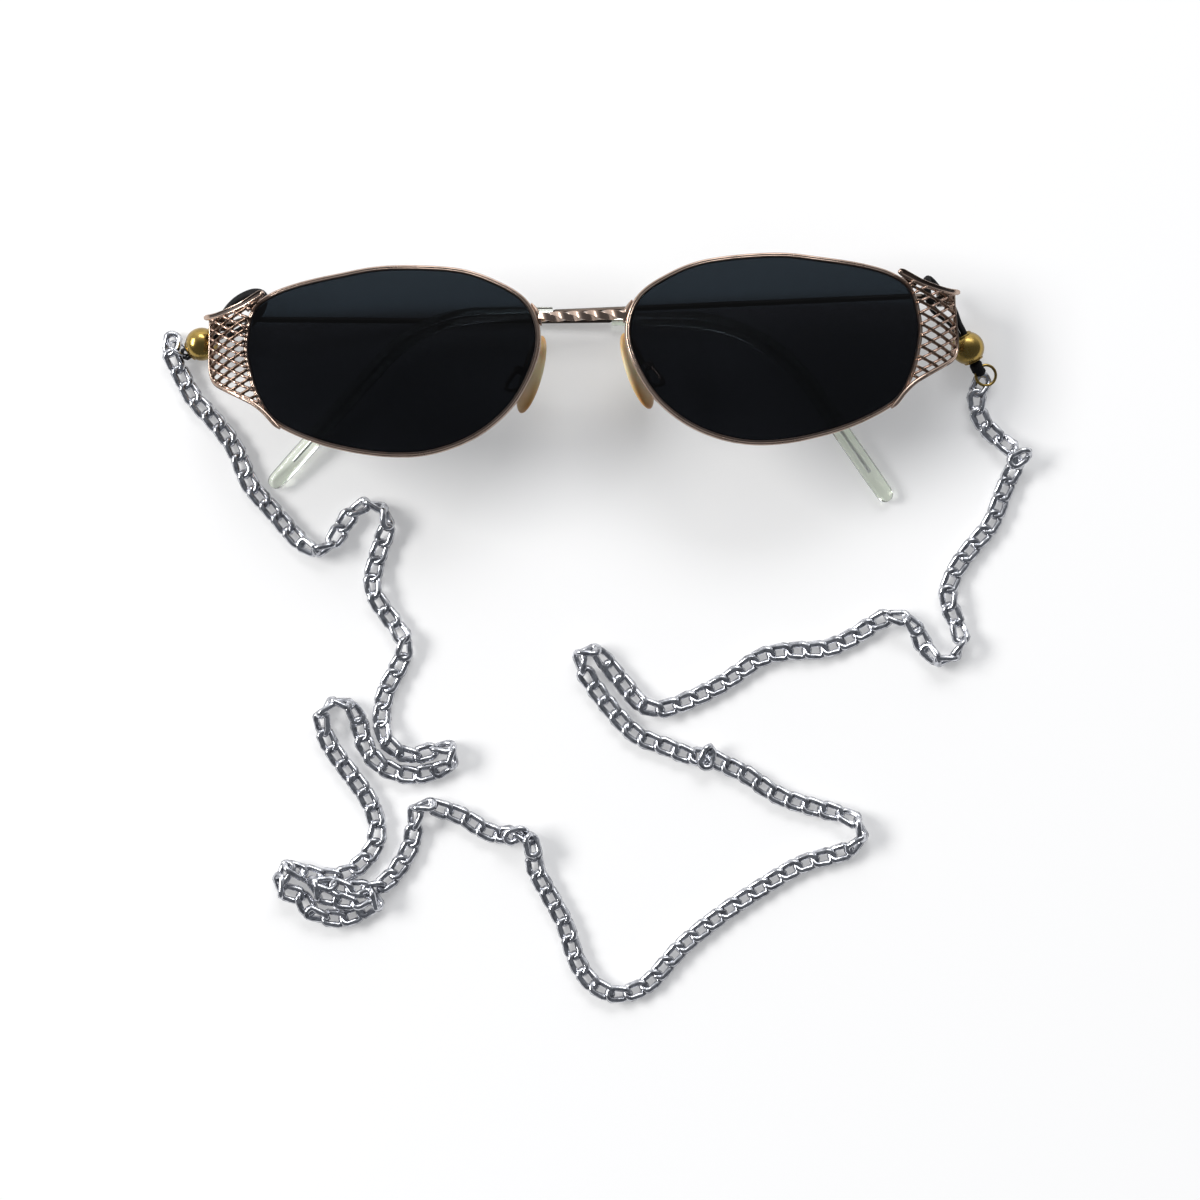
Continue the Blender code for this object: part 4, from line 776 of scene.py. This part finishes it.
def makeTopRail(word, side):
    line = evenly(smoothed(panel["topRoute"]), 34)
    sections = []
    for i, width in enumerate(np.linspace(*panel["topWidths"], len(line))):
        k = min(1.0, 0.55 + 0.4 * (len(line) - 1 - i), 0.55 + 0.3 * i)  # both ends are rounded off
        half, up = width / 2 * k, panel["depth"] / 2
        # a thin upper lip, a groove that stops short of the tip, and a wider lower lip
        low = up - panel["topSunk"] * min(1.0, max(0.05, (len(line) - 2.5 - i) / 2))
        sections.append([
            (-half, -up + 0.1), (-half + 0.1 * k, -up), (half - 0.1 * k, -up), (half, -up + 0.1),
            (half, up - 0.08), (half - 0.06 * k, up), (half - 0.15 * k, up), (half - 0.2 * k, low),
            (-half + 0.46 * k, low), (-half + 0.4 * k, up - 0.04), (-half + 0.3 * k, up),
            (-half + 0.12 * k, up - 0.02), (-half, up - 0.14),
        ])
    rail = drawnThrough(railRings(side, line, sections))
    dress(rail, roseGold, paintedShade)
    # the floor of the groove is painted dark, as painted shade
    for face in rail.data.polygons:
        centre = np.array(face.center) / 0.001 * (side, 1, 1) - (0, lensLine, 0)
        nearest = np.argmin(((line - centre[:2]) ** 2).sum(axis=1))
        point, up = railStation(*line[nearest])
        rise = np.dot(centre - point, up)
        tilt = np.dot(np.array(face.normal) * (side, 1, 1), up)
        if tilt > 0.7 and rise < panel["depth"] / 2 - panel["topSunk"] * 0.6:
            face.material_index = 1
    studs = []
    for x, y, r in panel["studs"]:
        point, up = railStation(x, y)
        place = (point + up * (panel["depth"] / 2 - panel["studIn"])) * (side, 1, 1)
        bpy.ops.mesh.primitive_uv_sphere_add(
            segments=16, ring_count=10, radius=r * 0.001, location=metres(place))
        stud = bpy.context.object
        bpy.ops.object.transform_apply()
        dress(stud, roseGold)
        studs.append(stud)
    piece = smoothUnder(joined([rail] + studs), 50)
    finished(piece, f"grooved_rail_{word}", "front", [f"top_rail_{word}"])


def makeSideRail(word, side):
    line = evenly(smoothed(panel["sideRoute"]), 64)
    shares, widths = zip(*panel["sideWidths"])
    sections = []
    for i in range(len(line)):
        close = min(1.0, 0.4 + 0.25 * i, 0.4 + 0.25 * (len(line) - 1 - i))
        half, up = np.interp(i / (len(line) - 1), shares, widths) / 2 * close, panel["depth"] / 2
        turn = np.arange(14) * 2 * math.pi / 14
        sections.append([(half * math.copysign(abs(math.cos(t)) ** 0.75, math.cos(t)),
                          up * math.copysign(abs(math.sin(t)) ** 0.75, math.sin(t))) for t in turn])
    piece = smoothUnder(drawnThrough(railRings(side, line, sections)), 60)
    finished(piece, f"round_rail_{word}", "front", [f"side_rail_{word}"], roseGold, paintedShade)
    inside = Vector(metres((side * panel["inside"][0], panel["inside"][1], 0)))
    # the rail's outer and lower side is painted dark, as painted shade
    for face in piece.data.polygons:
        out = face.center - inside
        out.z = 0
        if face.normal.dot(out.normalized()) > panel["outward"]:
            face.material_index = 1


# The opening between rim and rails, as (arc length, y) points of the unrolled panel
def latticeOutline():
    post = evenly(smoothed(panel["sideRoute"]), 60)
    heads = np.gradient(post, axis=0)
    out = np.column_stack([heads[:, 1], -heads[:, 0]]) / np.linalg.norm(heads, axis=1)[:, None]
    post += panel["postOut"] * out
    head = evenly(smoothed(panel["topRoute"]), 30) - (0, panel["headIn"])
    outer = rimOuter()
    edge = outer[outer[:, 0] > lensCentre + lens["width"] / 4]
    edge = edge[np.argsort(edge[:, 1])]
    low, high = panel["rimSpan"]
    line = [(x, y) for x, y, _ in edge if low < y < high]
    line += [(x, y) for x, y in head if x < panel["headTo"]]
    line += [(x, y) for x, y in post]
    return np.array([(panelAngle(x) * panel["bend"], y) for x, y in line])


# Where the line y = slope * a + level meets the outline, sorted along it
def crossings(outline, slope, level):
    hits = []
    for (a0, y0), (a1, y1) in zip(outline, np.roll(outline, -1, axis=0)):
        f0, f1 = y0 - slope * a0 - level, y1 - slope * a1 - level
        if (f0 < 0) != (f1 < 0):
            t = f0 / (f0 - f1)
            hits.append(a0 + t * (a1 - a0))
    return sorted(hits)


def makeLattice(word, side):
    outline = latticeOutline()
    cell, half = panel["cellHeight"][word], panel["cellWidth"][word] / 2
    slope = cell / (2 * half)
    strand = panel["strand"][word]
    flip = np.array([side, 1, 1])
    families, levels = {-1: [], 1: []}, {-1: [], 1: []}
    for sign in (-1, 1):
        heights = [y - sign * slope * a for a, y in outline]
        first, last = math.floor(min(heights) / cell), math.ceil(max(heights) / cell)
        for step in range(first, last + 1):
            level = step * cell + panel["shift"]
            hits = crossings(outline, sign * slope, level)
            for start, end in zip(hits[::2], hits[1::2]):
                if end - start < panel["shortest"]:
                    continue
                reach = np.linspace(start, end, max(4, int((end - start) / 0.3) + 1))
                free = np.sin(math.pi * reach / half) ** 2  # 0 at each crossing, 1 halfway between two
                lifts = panel["arch"] * (2 * free - 1) if sign > 0 else np.full(len(reach), 0.0)
                angles = reach / panel["bend"]
                line = [panelPoint(t, sign * slope * a + level, lift) * flip
                        for t, a, lift in zip(angles, reach, lifts)]
                ups = [(side * math.sin(t), 0, math.cos(t)) for t in angles]
                radii = strand * (1 + panel["web"] * (1 - free))
                rings = barRings(line, radii, 8, flat=panel["tall"], up=ups, ends=1)
                families[sign].append(drawnThrough(rings))
                levels[sign].append((level, start, end))
    for level, start, end in levels[1]:
        for other, begin, finish in levels[-1]:
            a = (other - level) / (2 * slope)
            if max(start, begin) < a < min(end, finish):
                place = panelPoint(a / panel["bend"], slope * a + level, panel["knotLift"]) * flip
                bpy.ops.mesh.primitive_ico_sphere_add(
                    subdivisions=2, radius=panel["knot"] * 0.001, location=metres(place))
                knot = bpy.context.object
                bpy.ops.object.transform_apply()
                families[-1].append(knot)
    # one way of strands and the knots are painted dark as shade, and the other way keeps the plain copper
    for sign, material in ((-1, brownGoldAndShade), (1, copper)):
        for part in families[sign]:
            dress(part, material)
    piece = joined(families[-1] + families[1])
    piece.data.shade_smooth()
    finished(piece, f"diamond_mesh_{word}", "front", [f"lattice_{word}"])


for word, side in sides:
    makeTopRail(word, side)
    makeSideRail(word, side)
    makeLattice(word, side)
print("side panels ready")

# Temple sleeves: clear plastic over the end of each wire
temple = {
    "hinge": (68.4, 9.2), "rise": 0.8, "sleeve": 74.0, "startWidth": 2.1, "width": 3.4,
    "endWidth": 3.2, "thick": 2.3, "startIn": 0.02, "endIn": 1.9, "endLong": 2.0,
    "straight": {"left": 86.9, "right": 87.8}, "bend": {"left": 30.6, "right": 26.4},
    "angle": {"left": 55.6, "right": 45.0}, "drop": {"left": 26.2, "right": 32.4},
    "lean": {"left": -1.55, "right": -0.45},
    "heights": {
        "left": [(0, 6), (0.03, 5.7), (0.29, 0.62), (0.42, 0.62), (0.53, 1.15), (1, 1.15)],
        "right": [(0, 6), (0.03, 5.9), (0.5, 4.9), (0.72, 4.6), (0.78, 4.2), (0.985, 1.15), (1, 1.15)],
    },
}


# A point of a folded temple by its run from the hinge
def templePoint(word, side, run):
    angle = math.radians(temple["angle"][word])
    bend, straight = temple["bend"][word], temple["straight"][word]
    turned = min(max(run - straight, 0.0), bend * angle) / bend
    beyond = max(0.0, run - straight - bend * angle)
    x = min(run, straight) + bend * math.sin(turned) + beyond * math.cos(angle)
    y = temple["rise"] - bend * (1 - math.cos(turned)) - beyond * math.sin(angle)
    lean = math.radians(temple["lean"][word])
    shares, heights = zip(*temple["heights"][word])
    hx, hy = temple["hinge"]
    return np.array([side * (hx - x * math.cos(lean) + y * math.sin(lean)),
                     hy + x * math.sin(lean) + y * math.cos(lean),
                     np.interp(run / templeLength(word), shares, heights)])


def templeLength(word):
    curved = temple["bend"][word] * math.radians(temple["angle"][word])
    return temple["straight"][word] + curved + temple["drop"][word]


def makeSleeve(word, side):
    whole = templeLength(word)
    runs = np.linspace(temple["sleeve"], whole - temple["endIn"], 70)
    line = np.array([templePoint(word, side, run) for run in runs])
    line[:, 2] = softened(line[:, 2], 2)
    shares = (runs - temple["sleeve"]) / (whole - temple["sleeve"])
    start, wide, thick = temple["startWidth"], temple["width"], temple["thick"]
    widths = np.interp(shares, [0, 0.25, 0.9, 1.0], [start, wide * 0.93, wide, temple["endWidth"]])
    depths = np.interp(shares, [0, 0.25, 1.0], [start, thick, thick])
    turn = np.arange(18) * 2 * math.pi / 18
    heads = np.gradient(line, axis=0)

    def ring(k, ahead, close):
        head = unit(heads[k])
        across = unit(np.cross((0, 0, 1), head))
        over = np.cross(head, across)
        centre = line[k] + head * ahead
        return [centre + across * widths[k] / 2 * close * math.cos(t)
                + over * depths[k] / 2 * close**0.7 * math.sin(t) for t in turn]

    rings = [ring(0, -temple["startIn"], 0.85)] + [ring(k, 0.0, 1.0) for k in range(len(line))]
    for lean in map(math.radians, (20, 38, 54, 68, 80)):  # the rounded end
        rings.append(ring(len(line) - 1, temple["endLong"] * math.sin(lean), math.cos(lean) ** 0.85))
    piece = smoothUnder(drawnThrough(rings), 60)
    finished(piece, f"clear_sleeve_{word}", f"temple_{word}", [f"temple_tip_{word}"], clearGreen)


for word, side in sides:
    makeSleeve(word, side)
print("sleeves ready")

# Nose pads: soft oval plates with a lug on their back
pad = {"length": 15.2, "width": 7.8, "thick": 1.7, "pivot": (11.8, -2.0, 9.5), "frontal": 17.0,
       "splay": 30.0, "offset": 2.2, "dish": 0.12, "lug": (0.75, 0.6), "neck": 0.9}


def padFrame(side):
    x, y, z = pad["pivot"]
    turn = Matrix.Rotation(side * math.radians(pad["frontal"]), 3, "Z") @ Matrix.Rotation(
        -side * math.radians(pad["splay"]), 3, "Y")
    return Vector((side * x, y, z)), turn


def makePad(word, side):
    pivot, turn = padFrame(side)
    deselect()
    bpy.ops.mesh.primitive_uv_sphere_add(segments=40, ring_count=20, radius=1.0)
    piece = bpy.context.object
    for vertex in piece.data.vertices:
        x, y, z = vertex.co
        edge = min(1.0, math.hypot(y, z))
        plate = math.copysign((1.0 - edge**4) ** 0.5, x) if abs(x) > 0.0001 else 0.0
        # the side that meets the nose is a little hollow
        dish = pad["dish"] * (1 - edge**2) if x * side < 0 else 0.0
        local = Vector((plate * (pad["thick"] / 2 - dish) - side * pad["offset"], y * pad["length"] / 2,
                        z * pad["width"] / 2))
        vertex.co = metres(pivot + turn @ local)
    radius, thick = pad["lug"]
    line = [(-side * pad["offset"], 0, 0), (-side * pad["neck"], 0, 0), (0, 0, 0)]
    lug = barRings(line, [radius * 1.1, radius * 0.9, radius], flat=thick / 2 / radius, ends=2)
    lug = drawnThrough([[pivot + turn @ Vector(p) for p in ring] for ring in lug])
    piece = smoothUnder(joined([piece, lug]), 60)
    finished(piece, f"soft_pad_{word}", f"pad_{word}", [f"nose_pad_{word}"], softAmber)


for word, side in sides:
    makePad(word, side)
print("nose pads ready")

# Cord fittings: nooses, beads and jump rings; the end sleeves keep their solids
fitting = {
    "centre": {"left": (-72.8, 5.8, 3.25), "right": (73.3, 0.1, 3.25)},
    "axis": {"left": (-0.87, -0.46, -0.18), "right": (0.43, -0.88, -0.2)},
    "bead": {
        "radius": 3.15, "length": 5.6, "bore": 1.35, "rimIn": 0.3,
        "mouth": [  # out from the bore and in from the end, round the turned lip
            (0.0, 1.1), (0.14, 0.4), (0.24, 0.08), (0.34, 0.0), (0.48, 0.02), (0.56, 0.1), (0.54, 0.2),
            (0.46, 0.26),
        ],
    },
    "sleeve": {"radius": 1.25, "length": 3.0, "gap": {"left": -1.3, "right": 0.15}},
    "ring": {
        "radius": 1.95, "wire": 0.28, "setIn": 0.3, "seat": {"left": 0.6, "right": 0.45},
        "way": {"left": (-0.75, 0.62, 0.0), "right": (0.82, -0.55, -0.15)},
        "roll": {"left": 65.0, "right": 0.0},
    },
    "strand": 0.6, "apart": 0.62, "end": 0.15, "back": {"left": 1.3, "right": 0.5},
    "swell": {"left": 0.75, "right": 0.25}, "swellAt": 0.52, "swellReach": 0.3,
    "noose": {
        "right": [
            (70.3, 4.6, 4.1), (68.6, 6, 4.9), (66.6, 7.4, 6.3), (65.6, 9.6, 7.4), (65.4, 12, 7),
            (65.8, 13.2, 5.6), (66.7, 12.8, 4.5), (68, 11.4, 3.8), (69.8, 9.4, 3.3), (71, 7.2, 3.1),
            (71.6, 5.2, 3.5),
        ],
        "left": [
            (-67.9, 7.2, 4.75), (-66.2, 7.4, 5.6), (-63.4, 8.5, 7), (-61.2, 10.7, 7.5),
            (-60.3, 12.9, 6.8), (-60.9, 14.5, 5.6), (-62.8, 14.8, 4.7), (-65.6, 13.7, 4.1),
            (-67.8, 11.8, 3.7), (-68.9, 9.9, 3.6),
        ],
    },
}


def makeNoose(word, side):
    centre, axis = np.array(fitting["centre"][word]), unit(fitting["axis"][word])
    apart = unit(np.cross(axis, (0, 0, 1))) * -side * fitting["apart"]
    half = fitting["bead"]["length"] / 2
    gap = fitting["sleeve"]["gap"][word]
    end, back = half + min(0.0, gap - fitting["end"]), half + fitting["back"][word]
    inner = [centre - apart + axis * end, centre - apart, centre - apart - axis * back]
    outer = [centre + apart - axis * back, centre + apart, centre + apart + axis * end]
    route = inner + [np.array(p) for p in fitting["noose"][word]] + outer
    line = evenly(smoothed(route), 80)
    shares = (np.linspace(0, 1, 80) - fitting["swellAt"]) / fitting["swellReach"]
    radii = fitting["strand"] * (1 + fitting["swell"][word] * np.clip(1 - shares**2, 0, None))
    piece = smoothUnder(drawnThrough(barRings(line, radii, ends=2)), 60)
    finished(piece, f"rubber_noose_{word}", None, [f"noose_{word}"], rubber)
    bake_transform(piece)


# Stands a turned blank on a point in mm with its Z along an axis
def turnTo(blank, centre, axis, hint=(0.0, 0.0, 1.0)):
    z = Vector(axis).normalized()
    y = z.cross(Vector(hint)).normalized()
    x = y.cross(z)
    return reshaped(blank, lambda co: Vector(centre) + x * co.x + y * co.y + z * co.z)


def makeBead(word):
    shape = fitting["bead"]
    half = shape["length"] / 2
    mouth = [(shape["bore"] + wide, half - deep) for wide, deep in shape["mouth"]]
    widest = math.acos((half - shape["rimIn"]) / shape["radius"])
    ball = [(shape["radius"] * math.sin(angle), shape["radius"] * math.cos(angle))
            for angle in np.linspace(widest, math.pi - widest, 27)]
    outline = mouth + ball + [(r, -h) for r, h in mouth[::-1]]
    piece = turnTo(turnedBlank(outline, 64, closed=True), fitting["centre"][word], fitting["axis"][word])
    finished(smoothUnder(piece, 40), f"gold_bead_{word}", f"bead_{word}", [f"bead_{word}"], brass)


def makeJumpRing(word):
    shape, sleeve = fitting["ring"], fitting["sleeve"]
    axis = unit(fitting["axis"][word])
    run = fitting["bead"]["length"] / 2 + sleeve["gap"][word] + sleeve["length"] / 2
    seat = np.array(fitting["centre"][word]) + axis * run + axis * shape["seat"][word]
    out = unit(shape["way"][word])
    level = unit(np.cross((0, 0, 1), out))
    roll = math.radians(shape["roll"][word])
    tangent = level * math.cos(roll) + np.cross(out, level) * math.sin(roll)
    centre = seat + out * (shape["radius"] - shape["setIn"])
    deselect()
    bpy.ops.mesh.primitive_torus_add(
        major_segments=56, minor_segments=12, major_radius=shape["radius"], minor_radius=shape["wire"])
    piece = smoothUnder(turnTo(bpy.context.object, centre, np.cross(out, tangent), tuple(out)), 60)
    material = silver if word == "left" else brass
    finished(piece, f"gold_ring_{word}", "front", [f"jump_ring_{word}"], material)


for word, side in sides:
    makeNoose(word, side)
    makeBead(word)
    makeJumpRing(word)
print("cord fittings ready")

# Solids whose shape is right keep it, and take a finish
finishes = {"rim_lock": brownGoldAndShade, "lock_screw": steel, "hinge_front": brownGoldAndShade, "hinge_screw": steel,
            "temple": None, "pad_arm": roseGold, "pad_screw": steel, "end_sleeve": rubber}
for stem, material in finishes.items():
    for word, side in sides:
        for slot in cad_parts[f"{stem}_{word}"].material_slots:
            slot.material = material or coredWire(side)
